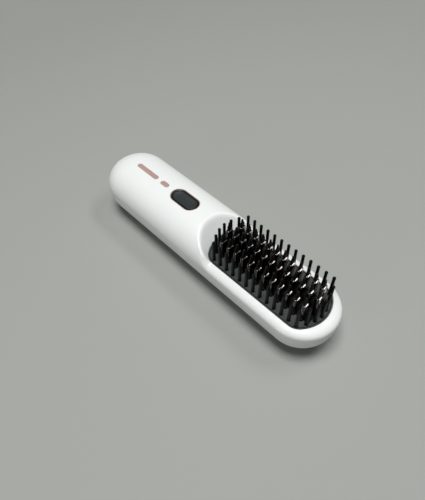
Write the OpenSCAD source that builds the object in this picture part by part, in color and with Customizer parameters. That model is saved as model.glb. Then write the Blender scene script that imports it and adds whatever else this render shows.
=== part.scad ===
// Cordless hot comb: a rounded housing whose head carries a plate of heated teeth
// inside a ring of guard pins. Millimetres, +X towards the head, +Z up, belly at Z 0.

/* [Housing] */
// Overall length of the housing
body_length = 182.5; // [176:0.5:200]
// Length of the handle, from its end to the plate's opening
handle_length = 97.45; // [94:0.05:110]
// Overall width of the housing
body_width = 42.5; // [42:0.5:48]
// Height of the joint line between the two shells
parting_level = 21; // [20.5:0.5:24]
// Rise of the handle's crown above the joint line
crown_rise = 15.75; // [15.5:0.25:19]
// Fullness of the handle's cross-section
section_power = 2.2; // [2.1:0.05:2.6]
// Rise of the head's rim above the joint line
head_rise = 5.8; // [5.4:0.1:6.4]
// Fullness of the head's cross-section
head_power = 3.6; // [3.2:0.1:4.2]
// Wall of both shells
wall = 2.2; // [1.8:0.1:2.4]
// Depth of the flat along the belly
belly_flat = 0.5; // [0.3:0.1:1.2]
// Height of the locating lip along the joint line
lip_height = 1.2; // [0.8:0.1:1.4]
// Thickness of the locating lip
lip_thickness = 0.9; // [0.7:0.1:1.2]

/* [Neck] */
// Length over which the handle's crown falls to the head's rim
neck_length = 10; // [8:0.5:14]
// Distance from the plate's edge to where the crown starts to fall
neck_offset = 1.8; // [0:0.2:4]
// Rise of the scoop for each millimetre outward
scoop_slope = 1.45; // [1.2:0.05:1.8]

/* [Comb plate] */
// Distance from the plate's opening to the tip of the head
head_rim = 6.35; // [5.8:0.05:8]
// Distance from the plate's opening to the side of the housing
side_rim = 4.75; // [4.6:0.05:5]
// How far the rounded ends of the opening bow out
plate_end_depth = 12; // [11:0.5:14]
// Corner radius of the opening
plate_corner_r = 9.5; // [8:0.5:10]
// Thickness of the plate
plate_thickness = 2; // [1.6:0.1:2.4]
// Gap round the plate
plate_gap = 0.25; // [0.15:0.05:0.4]
// Width of the seat under the plate's edge
seat_width = 1.2; // [0.9:0.1:1.4]
// Thickness of the seat under the plate's edge
seat_thickness = 1.2; // [1:0.1:1.6]
// Distance from the plate's edge to its border groove
groove_inset = 0.6; // [0.4:0.1:0.8]
// Width of the border groove
groove_width = 0.4; // [0.3:0.1:0.5]
// Depth of the border groove
groove_depth = 0.5; // [0.3:0.1:0.8]

/* [Guard pins] */
// Spacing of the guard pins along the comb
guard_pitch = 5; // [4.6:0.1:6]
// Height of the guard pins above the plate
guard_height = 15.6; // [10:0.1:18]
// Distance from the plate's side to the guard pins
guard_inset = 2.7; // [2.6:0.1:3]
// Bow of the pins round each end of the comb
guard_bow = 5.6; // [5.4:0.1:6]
// Radius of a guard pin at its root
guard_root_r = 1; // [0.8:0.05:1.05]
// Radius of a guard pin under its tip
guard_neck_r = 0.85; // [0.6:0.05:0.9]
// Radius of a guard pin's round tip
guard_tip_r = 0.96; // [0.8:0.02:1]
// Thickness of the strip that holds the guard pins
guard_strip_thickness = 1.5; // [1.2:0.1:1.7]
// How far the comb's field lies from the plate's middle, towards the head
comb_shift = 1.25; // [0:0.05:1.5]

/* [Heating teeth] */
// Spacing of the teeth along a row
tooth_pitch = 5.24; // [5:0.02:6]
// Distance between rows of teeth
tooth_row_gap = 7.5; // [7:0.1:7.6]
// Height of an outer tooth above the plate, without its tip
tooth_height = 12.4; // [9:0.1:15]
// How much taller the middle row is
middle_extra = 1.2; // [0:0.1:2]
// Half-width of a tooth at its root
tooth_root_r = 2.5; // [2.2:0.05:2.55]
// Half-width of a tooth at its shoulder
tooth_shoulder_r = 2.15; // [1.9:0.05:2.2]
// Rounding of a tooth's shoulder
tooth_round = 0.5; // [0.4:0.1:0.9]
// Thickness of a tooth at its root
tooth_root_thickness = 2.8; // [2.2:0.1:3]
// Thickness of a tooth at its top
tooth_top_thickness = 2.3; // [1.7:0.1:2.5]
// Length of the heat-proof tip on a tooth
tip_length = 6.1; // [5.4:0.1:7]
// Half-width of a tip where it meets its tooth
tip_root_r = 1.75; // [1.5:0.05:1.9]
// Half-width of a tip below its neck
tip_shoulder_r = 1.45; // [1.2:0.05:1.5]
// Radius of a tip's rounded end
tip_end_r = 0.75; // [0.6:0.05:0.85]
// Thickness of the plate under the teeth
heating_plate_thickness = 2; // [1.6:0.1:2.2]
// Gap between the heating plate and the cover plate
heating_gap = 0.2; // [0.1:0.05:0.4]

/* [Heater] */
// Distance from each end of the plate to the ceramic heater
heater_margin = 13.35; // [11.35:0.1:17]
// Width of the ceramic heater
heater_width = 12; // [10:0.5:12.4]
// Thickness of the ceramic heater
heater_thickness = 1.4; // [1:0.1:1.5]
// Thickness of the insulating sheet
mica_thickness = 0.3; // [0.2:0.05:0.4]
// Thickness of the clamp plate
clamp_thickness = 0.8; // [0.6:0.1:1]
// Height of the clamp's feet
clamp_foot = 0.7; // [0.5:0.1:0.9]
// Thickness of the tray's floor
tray_floor = 1.6; // [1.2:0.1:2]
// Radius of the thermal fuse
fuse_r = 1.2; // [1:0.1:1.3]
// Length of the thermal fuse
fuse_length = 10; // [8:0.5:12]
// Radius of the temperature sensor
sensor_r = 1; // [0.8:0.1:1.2]
// Length of the temperature sensor
sensor_length = 3.6; // [3:0.1:5]

/* [Button] */
// Distance from the plate's opening back to the button's centre
button_setback = 29; // [27:0.1:34]
// Length of the rose-gold ring round the button
trim_length = 22; // [20:0.1:24]
// Width of the rose-gold ring round the button
trim_width = 11.6; // [10.6:0.1:12]
// Width of the ring's band
trim_band = 0.4; // [0.3:0.05:0.7]
// Width of the black collar's band
frame_band = 1.05; // [0.8:0.05:1.2]
// How far the black collar lies below the crown
frame_sink = 0.2; // [0:0.05:0.3]
// Running gap round the button
button_gap = 0.25; // [0.2:0.05:0.35]
// Travel of the button
button_travel = 0.4; // [0.3:0.05:0.5]
// How deep the button's top is dished
dish_depth = 0.6; // [0.3:0.1:0.9]
// Radius of the switch's plunger
plunger_r = 1; // [0.8:0.1:1.2]

/* [Lights] */
// Length of the charge light
bar_length = 19.8; // [14:0.1:20.5]
// Width of the charge light
bar_width = 3.4; // [2.6:0.05:3.6]
// Distance from the button to the charge light's centre
bar_setback = 35.8; // [33:0.1:36.5]
// Length of the status light
dot_length = 6.9; // [4:0.1:7.2]
// Width of the status light
dot_width = 3.5; // [2.6:0.05:3.8]
// Distance from the button to the status light's centre
dot_setback = 18.9; // [17.5:0.1:20]
// How far both lights lie below the crown
light_sink = 0.15; // [0:0.05:0.3]

/* [Battery and boards] */
// Gap between a cell and the housing's inside
cell_side_gap = 0.45; // [0.35:0.05:1]
// Gap between the two cells
cell_gap = 0.4; // [0.2:0.1:1]
// Distance from the plate's opening back to the cells
cell_setback = 14.7; // [13:0.1:16]
// Thickness of the main board
board_thickness = 1; // [0.8:0.1:1.2]
// Width of the main board
board_width = 22; // [20:0.5:23]
// Gap between the cells and the main board
board_gap = 1.4; // [1.3:0.1:1.6]
// Radius of every lead
lead_r = 0.6; // [0.5:0.05:0.7]
// Distance from each side of the charging board to the inside of the housing
charge_board_inset = 11.55; // [11:0.05:12.5]
// Length of the charging board
charge_board_length = 11; // [10:0.5:11]

/* [Screws] */
// Radius of the shell screws' shanks
shell_screw_r = 0.95; // [0.8:0.05:1.1]
// Radius of the small screws' shanks
small_screw_r = 0.75; // [0.6:0.05:0.85]

/* [Hidden] */
$fn = 48;

// Small common clearances
slip = 0.1;
nudge = 0.01;
pilot_slip = 0.03;
trim_slip = 0.02;

// Housing
half_width = body_width / 2;
end_x = body_length / 2 - half_width;
belly_drop = parting_level + belly_flat;
crown_level = parting_level + crown_rise;
inner_half = half_width - wall;
profile_steps = 16;
lip_gap = 0.15;
lip_root = 2.4;

// Comb plate
plate_end = body_length / 2 - head_rim;
plate_start = -body_length / 2 + handle_length;
plate_length = plate_end - plate_start;
plate_half = half_width - side_rim;
plate_middle = (plate_start + plate_end) / 2;
plate_level = parting_level + 5;
plate_bottom = plate_level - plate_thickness;
lip_level = plate_level + 0.1;
corner_y = plate_half - plate_corner_r;
end_arc_r = (pow(corner_y, 2) + pow(plate_end_depth, 2) - pow(plate_corner_r, 2))
    / (2 * (plate_end_depth - plate_corner_r));
end_arc_angle = asin(corner_y / (end_arc_r - plate_corner_r));
seat_bottom = plate_bottom - seat_thickness;

// Neck
neck_start = plate_start + neck_offset;
neck_end = neck_start + neck_length;
neck_steps = 10;
scoop_top = crown_level + 1;
scoop_run = (scoop_top - lip_level) / scoop_slope;
cavity_end = plate_start - (crown_level - lip_level) / scoop_slope - wall - 0.6;

// Guard pins
comb_middle = plate_middle + comb_shift;
guard_margin = 9;
guard_count = floor((plate_length - 2 * guard_margin) / guard_pitch) + 1;
guard_reach = (guard_count - 1) * guard_pitch / 2;
guard_row_y = plate_half - guard_inset;
guard_bow_power = 1.8;
guard_hole_r = guard_root_r + slip;
strip_bottom = plate_bottom - guard_strip_thickness;
strip_gap = 0.25;

// Heating teeth
tooth_margin = 10.5;
side_count = floor((plate_length - 2 * tooth_margin) / tooth_pitch) + 1;
tooth_clear = 0.2;
heating_half = tooth_row_gap + tooth_root_r + 0.2;
heating_corner_r = 6;
heating_reach = side_count * tooth_pitch / 2 + 2.05;
heating_top = plate_bottom - heating_gap;
heating_bottom = heating_top - heating_plate_thickness;

// Heater stack and tray
heater_length = plate_length - 2 * heater_margin;
heater_bottom = heating_bottom - heater_thickness;
mica_bottom = heater_bottom - mica_thickness;
clamp_bottom = mica_bottom - clamp_thickness;
tray_top_of_floor = clamp_bottom - clamp_foot;
tray_bottom = tray_top_of_floor - tray_floor;
tray_inset = seat_width + 0.4;
tray_step = 1;
side_part_y = heater_width / 2 + fuse_r + 0.4;
ear_inner = plate_half - seat_width - strip_gap;
ear_outer = inner_half - lip_gap - lip_thickness;
ear_x = heater_length / 2 - 7;
ear_y = (ear_inner + ear_outer) / 2;
ear_boss_r = (ear_outer - ear_inner) / 2 - 0.075;
ear_r = ear_boss_r + 0.3;
ear_reach = 3;
ear_thickness = 1.5;
small_head_r = 1.5;
small_head_height = 1.1;

// Heater leads
lead_y = 2.5;
lead_margin = 4.3;
lead_sag = 2;
lead_drop_x = comb_middle - heater_length / 2 - lead_margin;
lead_low = tray_bottom - lead_sag;
heater_lead_level = heater_bottom + lead_r + slip;

// Button
button_x = plate_start - button_setback;
crown_inside = crown_level - wall;
frame_length = trim_length - 2 * trim_band - 2 * trim_slip;
frame_width = trim_width - 2 * trim_band - 2 * trim_slip;
cap_length = frame_length - 2 * frame_band - 2 * button_gap;
cap_width = frame_width - 2 * frame_band - 2 * button_gap;
cap_sink = frame_sink + 0.05;
flange_grow = 0.9;
flange_play = 0.3;
frame_flange = 1.6;
frame_drop = 1.95;
frame_bottom = crown_inside - frame_drop;
switch_height = 1.5;
switch_gap = 0.9;
board_top = frame_bottom - switch_gap - switch_height;
board_bottom = board_top - board_thickness;
frame_flange_height = 1;
cap_bottom = frame_bottom + 0.15;
cap_flange_height = 0.65;
cap_rim = 0.6;
switch_size = 4.5;
plunger_top = frame_bottom - 0.2;
plunger_sunk = 0.7;
plunger_length = plunger_top - board_top - switch_height + plunger_sunk;
dish_r = (pow(cap_width / 2, 2) + pow(dish_depth, 2)) / (2 * dish_depth);

// Lights
bar_x = button_x - bar_setback;
dot_x = button_x - dot_setback;
guide_bottom = board_top + 1;
guide_flange = 0.9;
lamp_height = 0.6;
lamp_length = 1.6;
lamp_width = 1.2;

// Battery and boards
socket_mouth = -body_length / 2 + 0.85;
socket_overhang = 3.9;
charge_board_start = socket_mouth + socket_overhang;
charge_board_end = charge_board_start + charge_board_length;
cell_start = charge_board_end + 2;
cell_end = plate_start - cell_setback;
cell_length = cell_end - cell_start;
cell_d = inner_half - cell_gap / 2 - cell_side_gap;
cell_level = board_bottom - board_gap - cell_d / 2;
cell_y = (cell_d + cell_gap) / 2;
link_thickness = 0.2;
link_overlap = 4;
board_end = cell_end + 2;
board_start = cell_start - 2;
board_rear_inset = 9.5;
board_front_inset = 6;
board_hole_x = [board_start + board_rear_inset, board_end - board_front_inset];
board_hole_y = 8;
board_boss_r = 2;
board_grip = 2.6;
lead_rise_x = cell_end + 1.2;
socket_length = 7.3;
socket_width = 8.94;
socket_height = 3.16;
socket_wall = 0.3;
charge_board_thickness = 0.8;
socket_level = parting_level - 2.8;
charge_board_top = socket_level - socket_height / 2;
charge_board_width = 2 * (inner_half - charge_board_inset);
charge_rest_width = charge_board_width - 3;
charge_rest_length = 1.6;
charge_lead_y = 4;
charge_lead_inset = 2.5;

// Shell screws
handle_screw_x = cell_start - 4.5;
handle_screw_y = inner_half - 7.55;
neck_screw_x = plate_start - 5.2;
neck_screw_y = inner_half - 6.05;
screw_places = [for (s = [-1, 1]) each [[handle_screw_x, s * handle_screw_y],
                                        [neck_screw_x, s * neck_screw_y]]];
boss_r = 2.6;
boss_bottom = parting_level - 2;
boss_headroom = 5.55;
boss_top = crown_level - boss_headroom;
pilot_depth = 7;
post_r = 3.1;
counterbore_r = 2.6;
plug_slip = 0.05;
head_seat = 9;
shell_head_r = 2.2;
shell_head_height = 1.8;
shell_screw_top = boss_bottom + 5.6;

// Points of a quarter of a full, rounded section, from the side to the top
function quarter(half, rise, power) =
    [for (i = [0 : profile_steps]) let (t = 90 * i / profile_steps)
        [half * pow(cos(t), 2 / power), rise * pow(sin(t), 2 / power)]];

// The same section from side to side
function arch(half, rise, power) =
    let (q = quarter(half, rise, power))
    concat(q, [for (i = [profile_steps - 1 : -1 : 0]) [-q[i][0], q[i][1]]]);

// Quarter of the belly's section, cut flat at the bottom
function belly_quarter(half, drop, flat) =
    let (limit = asin(pow((drop - flat) / drop, section_power / 2)))
    concat([for (i = [0 : profile_steps]) let (t = limit * i / profile_steps)
        [half * pow(cos(t), 2 / section_power), -drop * pow(sin(t), 2 / section_power)]],
        [[0, flat - drop]]);

function belly_arch(half, drop, flat) =
    let (q = belly_quarter(half, drop, flat), last = len(q) - 1)
    concat([for (i = [last - 1 : -1 : 0]) [-q[i][0], q[i][1]]],
        [for (i = [0 : last - 1]) q[i]]);

// Points along an arc
function arc(x, y, r, from, to, steps, closed) =
    [for (i = [0 : closed ? steps : steps - 1])
        let (a = from + (to - from) * i / steps) [x + r * cos(a), y + r * sin(a)]];

// Outline of the plate's opening, grown outward
function plate_outline(grow) =
    let (a = end_arc_angle, big = end_arc_r + grow, small = plate_corner_r + grow,
         head_x = plate_end - plate_end_depth, handle_x = plate_start + plate_end_depth)
    concat(
        arc(plate_end - end_arc_r, 0, big, -a, a, 12, false),
        arc(head_x, corner_y, small, a, 90, 6, true),
        arc(handle_x, corner_y, small, 90, 180 - a, 6, false),
        arc(plate_start + end_arc_r, 0, big, 180 - a, 180 + a, 12, false),
        arc(handle_x, -corner_y, small, 180 + a, 270, 6, true),
        arc(head_x, -corner_y, small, 270, 360 - a, 6, false));

function lift(points, z) = [for (p = points) [p[0], p[1], z]];

function smooth(t) = t * t * (3 - 2 * t);

function mix(a, b, t) = a + (b - a) * t;

// Places of the guard pins: two straight rows and a bowed row round each end
guard_places = concat(
    [for (i = [0 : guard_count - 1]) each [for (s = [-1, 1])
        [comb_middle - guard_reach + i * guard_pitch, s * guard_row_y]]],
    [for (e = [-1, 1]) each [for (k = [-2 : 2])
        [comb_middle + e * (guard_reach + guard_bow * (1 - pow(abs(k) / 3, guard_bow_power))),
         guard_row_y * k / 3]]]);

// Places of the teeth: [x, y, extra height]
tooth_places = concat(
    [for (i = [0 : side_count - 1]) each [for (s = [-1, 1])
        [comb_middle + (i - (side_count - 1) / 2) * tooth_pitch, s * tooth_row_gap, 0]]],
    [for (i = [0 : side_count])
        [comb_middle + (i - side_count / 2) * tooth_pitch, 0, middle_extra]]);

// A solid through rings of points that all have the same count
module skin(rings) {
    n = len(rings[0]);
    m = len(rings);
    polyhedron(
        points = [for (ring = rings) each ring],
        faces = concat(
            [[for (j = [0 : n - 1]) j]],
            [[for (j = [n - 1 : -1 : 0]) (m - 1) * n + j]],
            [for (i = [0 : m - 2]) for (j = [0 : n - 1])
                [i * n + j, (i + 1) * n + j, (i + 1) * n + (j + 1) % n]],
            [for (i = [0 : m - 2]) for (j = [0 : n - 1])
                [i * n + j, (i + 1) * n + (j + 1) % n, i * n + (j + 1) % n]]));
}

module along_x(from, to) {
    translate([from, 0, 0]) rotate([90, 0, 90]) linear_extrude(to - from) children();
}

module capsule_2d(length, width) {
    square([length - width, width], center = true);
    for (s = [-1, 1]) translate([s * (length - width) / 2, 0]) circle(d = width);
}

module capsule(x, from, to, length, width) {
    translate([x, 0, from]) linear_extrude(to - from) capsule_2d(length, width);
}

module round_rect_2d(length, width, r) {
    square([length - 2 * r, width], center = true);
    square([length, width - 2 * r], center = true);
    for (sx = [-1, 1]) for (sy = [-1, 1])
        translate([sx * (length / 2 - r), sy * (width / 2 - r)]) circle(r);
}

module block(from, to) {
    translate(from) cube(to - from);
}

// Straight runs of wire with round corners
module wire(points) {
    for (i = [0 : len(points) - 2]) {
        run = points[i + 1] - points[i];
        length = norm(run);
        translate(points[i])
            rotate([0, acos(run[2] / length), atan2(run[1], run[0])])
            cylinder(r = lead_r, h = length);
    }
    for (i = [1 : len(points) - 2]) translate(points[i]) sphere(lead_r);
}

// A screw that is driven from below: head at the bottom, cross recess in the head
module screw(shank_r, length, head_r, head_height) {
    difference() {
        union() {
            cylinder(r = shank_r, h = head_height + length);
            cylinder(r = head_r, h = head_height);
        }
        for (a = [0, 90]) rotate([0, 0, a])
            translate([0, 0, head_height / 4 - nudge])
            cube([head_r * 1.2, head_r * 0.28, head_height / 2], center = true);
    }
}

// Outside of the upper housing, solid
module upper_solid() {
    translate([0, 0, parting_level]) {
        translate([-end_x, 0, 0]) rotate([0, 0, 90])
            rotate_extrude(angle = 180)
            polygon(concat([[0, 0]], quarter(half_width, crown_rise, section_power)));
        along_x(-end_x, neck_start) polygon(arch(half_width, crown_rise, section_power));
        skin([for (i = [0 : neck_steps]) let (t = i / neck_steps, s = smooth(t))
            [for (p = arch(half_width, mix(crown_rise, head_rise, s),
                           mix(section_power, head_power, s)))
                [mix(neck_start, neck_end, t), p[0], p[1]]]]);
        along_x(neck_end, end_x) polygon(arch(half_width, head_rise, head_power));
        translate([end_x, 0, 0]) rotate([0, 0, -90])
            rotate_extrude(angle = 180)
            polygon(concat([[0, 0]], quarter(half_width, head_rise, head_power)));
    }
}

// Crown of the handle with its own cross-section, for the trims that follow it
module crown_slab(grow) {
    translate([0, 0, parting_level]) {
        translate([-end_x, 0, 0]) rotate([0, 0, 90])
            rotate_extrude(angle = 180)
            polygon(concat([[0, 0]],
                quarter(half_width + grow, crown_rise + grow, section_power)));
        along_x(-end_x, neck_start)
            polygon(arch(half_width + grow, crown_rise + grow, section_power));
    }
}

// Hollow under the crown
module crown_cavity() {
    inner_rise = crown_rise - wall;
    translate([0, 0, parting_level]) {
        translate([-end_x, 0, 0]) rotate([0, 0, 90])
            rotate_extrude(angle = 180)
            polygon(concat([[0, -nudge]], [[inner_half, -nudge]],
                quarter(inner_half, inner_rise, section_power)));
        along_x(-end_x, cavity_end)
            polygon(concat([[inner_half, -nudge]],
                arch(inner_half, inner_rise, section_power), [[-inner_half, -nudge]]));
    }
}

// Hollow of the belly
module belly_solid(half, drop, flat) {
    q = belly_quarter(half, drop, flat);
    translate([0, 0, parting_level]) {
        for (s = [-1, 1]) translate([s * end_x, 0, 0]) rotate([0, 0, -s * 90])
            rotate_extrude(angle = 180) polygon(concat([[0, 0]], q));
        along_x(-end_x, end_x) polygon(belly_arch(half, drop, flat));
    }
}

module top_shell() {
    color("white")
    difference() {
        union() {
            difference() {
                upper_solid();
                crown_cavity();
                // low hollow that runs from the handle into the head
                translate([0, 0, parting_level - nudge])
                    linear_extrude(seat_bottom - parting_level + nudge)
                    capsule_2d(2 * (end_x + inner_half), 2 * inner_half);
            }
            for (p = screw_places) translate([p[0], p[1], boss_bottom])
                cylinder(r = boss_r, h = (p[0] < cavity_end ? boss_top : seat_bottom + nudge)
                    - boss_bottom);
            for (x = board_hole_x) for (s = [-1, 1])
                translate([x, s * board_hole_y, board_top])
                cylinder(r = board_boss_r, h = crown_inside - board_top - 0.3);
            for (x = [-ear_x, ear_x]) for (s = [-1, 1])
                translate([comb_middle + x, s * ear_y, tray_bottom + ear_thickness])
                cylinder(r = ear_boss_r, h = seat_bottom - tray_bottom - ear_thickness + nudge);
        }
        // pocket of the plate, opening out into the scoop
        skin([lift(plate_outline(0), plate_bottom),
              lift(plate_outline(0), lip_level),
              lift(plate_outline(scoop_run), scoop_top)]);
        translate([0, 0, parting_level - nudge])
            linear_extrude(plate_bottom - parting_level + 2 * nudge)
            polygon(plate_outline(-seat_width));
        capsule(button_x, frame_bottom, crown_level + 1, trim_length, trim_width);
        capsule(bar_x, guide_bottom, crown_level + 1, bar_length + slip, bar_width + slip);
        capsule(dot_x, guide_bottom, crown_level + 1, dot_length + slip, dot_width + slip);
        for (p = screw_places) translate([p[0], p[1], boss_bottom - nudge])
            cylinder(r = shell_screw_r + pilot_slip, h = pilot_depth);
        for (x = board_hole_x) for (s = [-1, 1])
            translate([x, s * board_hole_y, board_top - nudge])
            cylinder(r = small_screw_r + pilot_slip, h = board_grip + 0.4);
        for (x = [-ear_x, ear_x]) for (s = [-1, 1])
            translate([comb_middle + x, s * ear_y, tray_bottom])
            cylinder(r = small_screw_r + pilot_slip, h = seat_bottom - tray_bottom + 0.6);
    }
}

module bottom_shell() {
    color("gainsboro")
    difference() {
        union() {
            difference() {
                belly_solid(half_width, belly_drop, belly_flat);
                translate([0, 0, nudge])
                    belly_solid(inner_half, belly_drop - wall, belly_flat);
            }
            locating_lip();
            intersection() {
                belly_solid(half_width - wall / 2, belly_drop - wall / 2, belly_flat);
                union() {
                    for (p = screw_places) translate([p[0], p[1], 0])
                        cylinder(r = post_r, h = boss_bottom);
                    for (x = [charge_board_start + 2, charge_board_end - 2])
                        block([x - charge_rest_length / 2, -charge_rest_width / 2, 0],
                              [x + charge_rest_length / 2, charge_rest_width / 2,
                               charge_board_top - charge_board_thickness]);
                }
            }
        }
        for (p = screw_places) translate([p[0], p[1], 0]) {
            translate([0, 0, -1]) cylinder(r = counterbore_r, h = head_seat + 1);
            cylinder(r = shell_screw_r + 0.3, h = boss_bottom + 1);
        }
        along_x(-body_length / 2 - 1, -end_x - inner_half + 3)
            translate([0, socket_level])
            capsule_2d(socket_width + 0.4, socket_height + 0.4);
    }
}

// Lip that guides the top shell, left out beside the cells
module locating_lip() {
    difference() {
        union() {
            translate([0, 0, parting_level - lip_root]) linear_extrude(lip_root)
                capsule_2d(2 * (end_x + inner_half) + 0.6, 2 * inner_half + 0.6);
            translate([0, 0, parting_level - nudge]) linear_extrude(lip_height)
                capsule_2d(2 * (end_x + inner_half - lip_gap), 2 * (inner_half - lip_gap));
        }
        translate([0, 0, parting_level - lip_root - 1]) linear_extrude(lip_root + lip_height + 2)
            capsule_2d(2 * (end_x + inner_half - lip_thickness - lip_gap),
                2 * (inner_half - lip_thickness - lip_gap));
        block([cell_start - 1.5, -body_width, parting_level - lip_root - 1],
              [cell_end + 1.5, body_width, parting_level + lip_height + 1]);
    }
}

module button_trim() {
    color("rosybrown")
    intersection() {
        difference() {
            capsule(button_x, crown_inside - 0.6, crown_level + 1,
                trim_length - 2 * trim_slip, trim_width - 2 * trim_slip);
            capsule(button_x, crown_inside - 1, crown_level + 2,
                trim_length - 2 * trim_band, trim_width - 2 * trim_band);
        }
        crown_slab(0.12);
    }
}

module button_frame() {
    color("black")
    intersection() {
        difference() {
            union() {
                capsule(button_x, frame_bottom, crown_level + 1, frame_length, frame_width);
                capsule(button_x, frame_bottom, frame_bottom + frame_flange_height,
                    frame_length + 2 * frame_flange, frame_width + 2 * frame_flange);
            }
            capsule(button_x, frame_bottom - 1, crown_level + 2,
                frame_length - 2 * frame_band, frame_width - 2 * frame_band);
            capsule(button_x, frame_bottom - 1, frame_bottom + frame_flange_height - 0.1,
                cap_length + 2 * (flange_grow + flange_play),
                cap_width + 2 * (flange_grow + flange_play));
        }
        crown_slab(-frame_sink);
    }
}

module button_cap() {
    color("darkslategray")
    difference() {
        union() {
            intersection() {
                capsule(button_x, cap_bottom, crown_level + 1, cap_length, cap_width);
                crown_slab(-cap_sink);
            }
            capsule(button_x, cap_bottom, cap_bottom + cap_flange_height,
                cap_length + 2 * flange_grow, cap_width + 2 * flange_grow);
            translate([button_x, 0, plunger_top])
                cylinder(r = plunger_r + 0.6, h = cap_bottom + nudge - plunger_top);
        }
        // dished face, drawn in from the rim
        intersection() {
            along_x(button_x - cap_length / 2, button_x + cap_length / 2)
                translate([0, crown_level - cap_sink - dish_depth + dish_r]) circle(dish_r);
            capsule(button_x, cap_bottom + cap_flange_height, crown_level + 1,
                cap_length - 2 * cap_rim, cap_width - 2 * cap_rim);
        }
    }
}

module switch_plunger() {
    color("black")
    translate([button_x, 0, plunger_top - plunger_length])
        cylinder(r = plunger_r, h = plunger_length);
}

module tact_switch() {
    color("silver")
    difference() {
        block([button_x - switch_size / 2, -switch_size / 2, board_top],
              [button_x + switch_size / 2, switch_size / 2, board_top + switch_height]);
        translate([button_x, 0, plunger_top - plunger_length - button_travel - 0.1])
            cylinder(r = plunger_r + 0.05, h = switch_height);
    }
}

// A light guide that follows the crown, with a flange inside the shell
module light_guide(x, length, width) {
    intersection() {
        union() {
            capsule(x, guide_bottom, crown_level + 1, length, width);
            capsule(x, crown_inside - 1.5, crown_inside - 0.5,
                length + 2 * guide_flange, width + 2 * guide_flange);
        }
        crown_slab(-light_sink);
    }
}

module charge_light_bar() {
    color("rosybrown") light_guide(bar_x, bar_length, bar_width);
}

module status_light() {
    color("rosybrown") light_guide(dot_x, dot_length, dot_width);
}

module cover_plate() {
    color("slategray")
    difference() {
        translate([0, 0, plate_bottom])
            linear_extrude(plate_thickness)
            polygon(plate_outline(-plate_gap));
        translate([0, 0, plate_level - groove_depth])
            linear_extrude(groove_depth + 1)
            difference() {
                polygon(plate_outline(-plate_gap - groove_inset));
                polygon(plate_outline(-plate_gap - groove_inset - groove_width));
            }
        for (p = guard_places) translate([p[0], p[1], plate_bottom - 1])
            cylinder(r = guard_hole_r, h = plate_thickness + 2);
        for (p = tooth_places) translate([p[0], p[1], plate_bottom - 1])
            linear_extrude(plate_thickness + 2)
            intersection() {
                circle(tooth_root_r + tooth_clear);
                square([tooth_root_thickness + 2 * tooth_clear, 2 * body_width], center = true);
            }
    }
}

module guard_pin() {
    shaft = plate_thickness + guard_height - guard_tip_r;
    cylinder(r1 = guard_root_r, r2 = guard_neck_r, h = shaft);
    translate([0, 0, shaft]) sphere(guard_tip_r);
}

module guard_bristles() {
    color("#1c1c1e") {
        translate([0, 0, strip_bottom])
            linear_extrude(guard_strip_thickness)
            difference() {
                polygon(plate_outline(-seat_width - strip_gap));
                translate([comb_middle, 0])
                    round_rect_2d(2 * heating_reach + 0.6, 2 * heating_half + 0.6,
                        heating_corner_r + 0.3);
            }
        for (p = guard_places) translate([p[0], p[1], plate_bottom - nudge]) guard_pin();
    }
}

// One tooth: a round taper with two flat faces across the comb
module tooth(height) {
    root = plate_bottom - heating_gap;
    rise = plate_level - root + height;
    intersection() {
        rotate_extrude()
            polygon([[0, -nudge], [tooth_root_r, -nudge], [tooth_shoulder_r, rise - tooth_round],
                     [tooth_shoulder_r - 0.3 * tooth_round, rise - 0.3 * tooth_round],
                     [tooth_shoulder_r - tooth_round, rise], [0, rise]]);
        rotate([90, 0, 0]) linear_extrude(4 * tooth_root_r, center = true)
            polygon([[-tooth_root_thickness / 2, -1], [tooth_root_thickness / 2, -1],
                     [tooth_top_thickness / 2, rise - 0.3 * tooth_round],
                     [tooth_top_thickness / 2 - 0.25 * tooth_round, rise + nudge],
                     [-tooth_top_thickness / 2 + 0.25 * tooth_round, rise + nudge],
                     [-tooth_top_thickness / 2, rise - 0.3 * tooth_round]]);
    }
}

module heating_plate() {
    color("#2a1c18") {
        translate([comb_middle, 0, heating_bottom])
            linear_extrude(heating_plate_thickness)
            round_rect_2d(2 * heating_reach, 2 * heating_half, heating_corner_r);
        for (p = tooth_places) translate([p[0], p[1], heating_top])
            tooth(tooth_height + p[2]);
    }
}

module tooth_tip() {
    neck = tip_length * 0.68;
    intersection() {
        union() {
            rotate_extrude()
                polygon([[0, 0], [tip_root_r, 0], [tip_shoulder_r, tip_length * 0.5],
                         [tip_end_r, neck], [tip_end_r, tip_length - tip_end_r],
                         [0, tip_length - tip_end_r]]);
            translate([0, 0, tip_length - tip_end_r]) sphere(tip_end_r);
        }
        cube([2 * tip_end_r - 0.02, 4 * tip_root_r, 4 * tip_length], center = true);
    }
}

module tooth_tips() {
    color("#141416")
    for (p = tooth_places)
        translate([p[0], p[1], plate_level + tooth_height + p[2]]) tooth_tip();
}

module heater_strip() {
    color("linen")
    block([comb_middle - heater_length / 2, -heater_width / 2, heater_bottom],
          [comb_middle + heater_length / 2, heater_width / 2, heating_bottom]);
}

module mica_sheet() {
    color("khaki")
    block([comb_middle - heater_length / 2 - 1, -heater_width / 2 - 0.1, mica_bottom],
          [comb_middle + heater_length / 2 + 1, heater_width / 2 + 0.1, heater_bottom]);
}

module heater_clamp() {
    color("silver") {
        block([comb_middle - heater_length / 2 + 2, -heater_width / 2, clamp_bottom],
              [comb_middle + heater_length / 2 - 2, heater_width / 2, mica_bottom]);
        for (x = [-1, 0, 1]) for (s = [-1, 1])
            translate([comb_middle + x * (heater_length / 2 - 6), s * heater_width / 4,
                       tray_top_of_floor])
            cylinder(r = 1.4, h = clamp_foot + nudge);
    }
}

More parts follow.
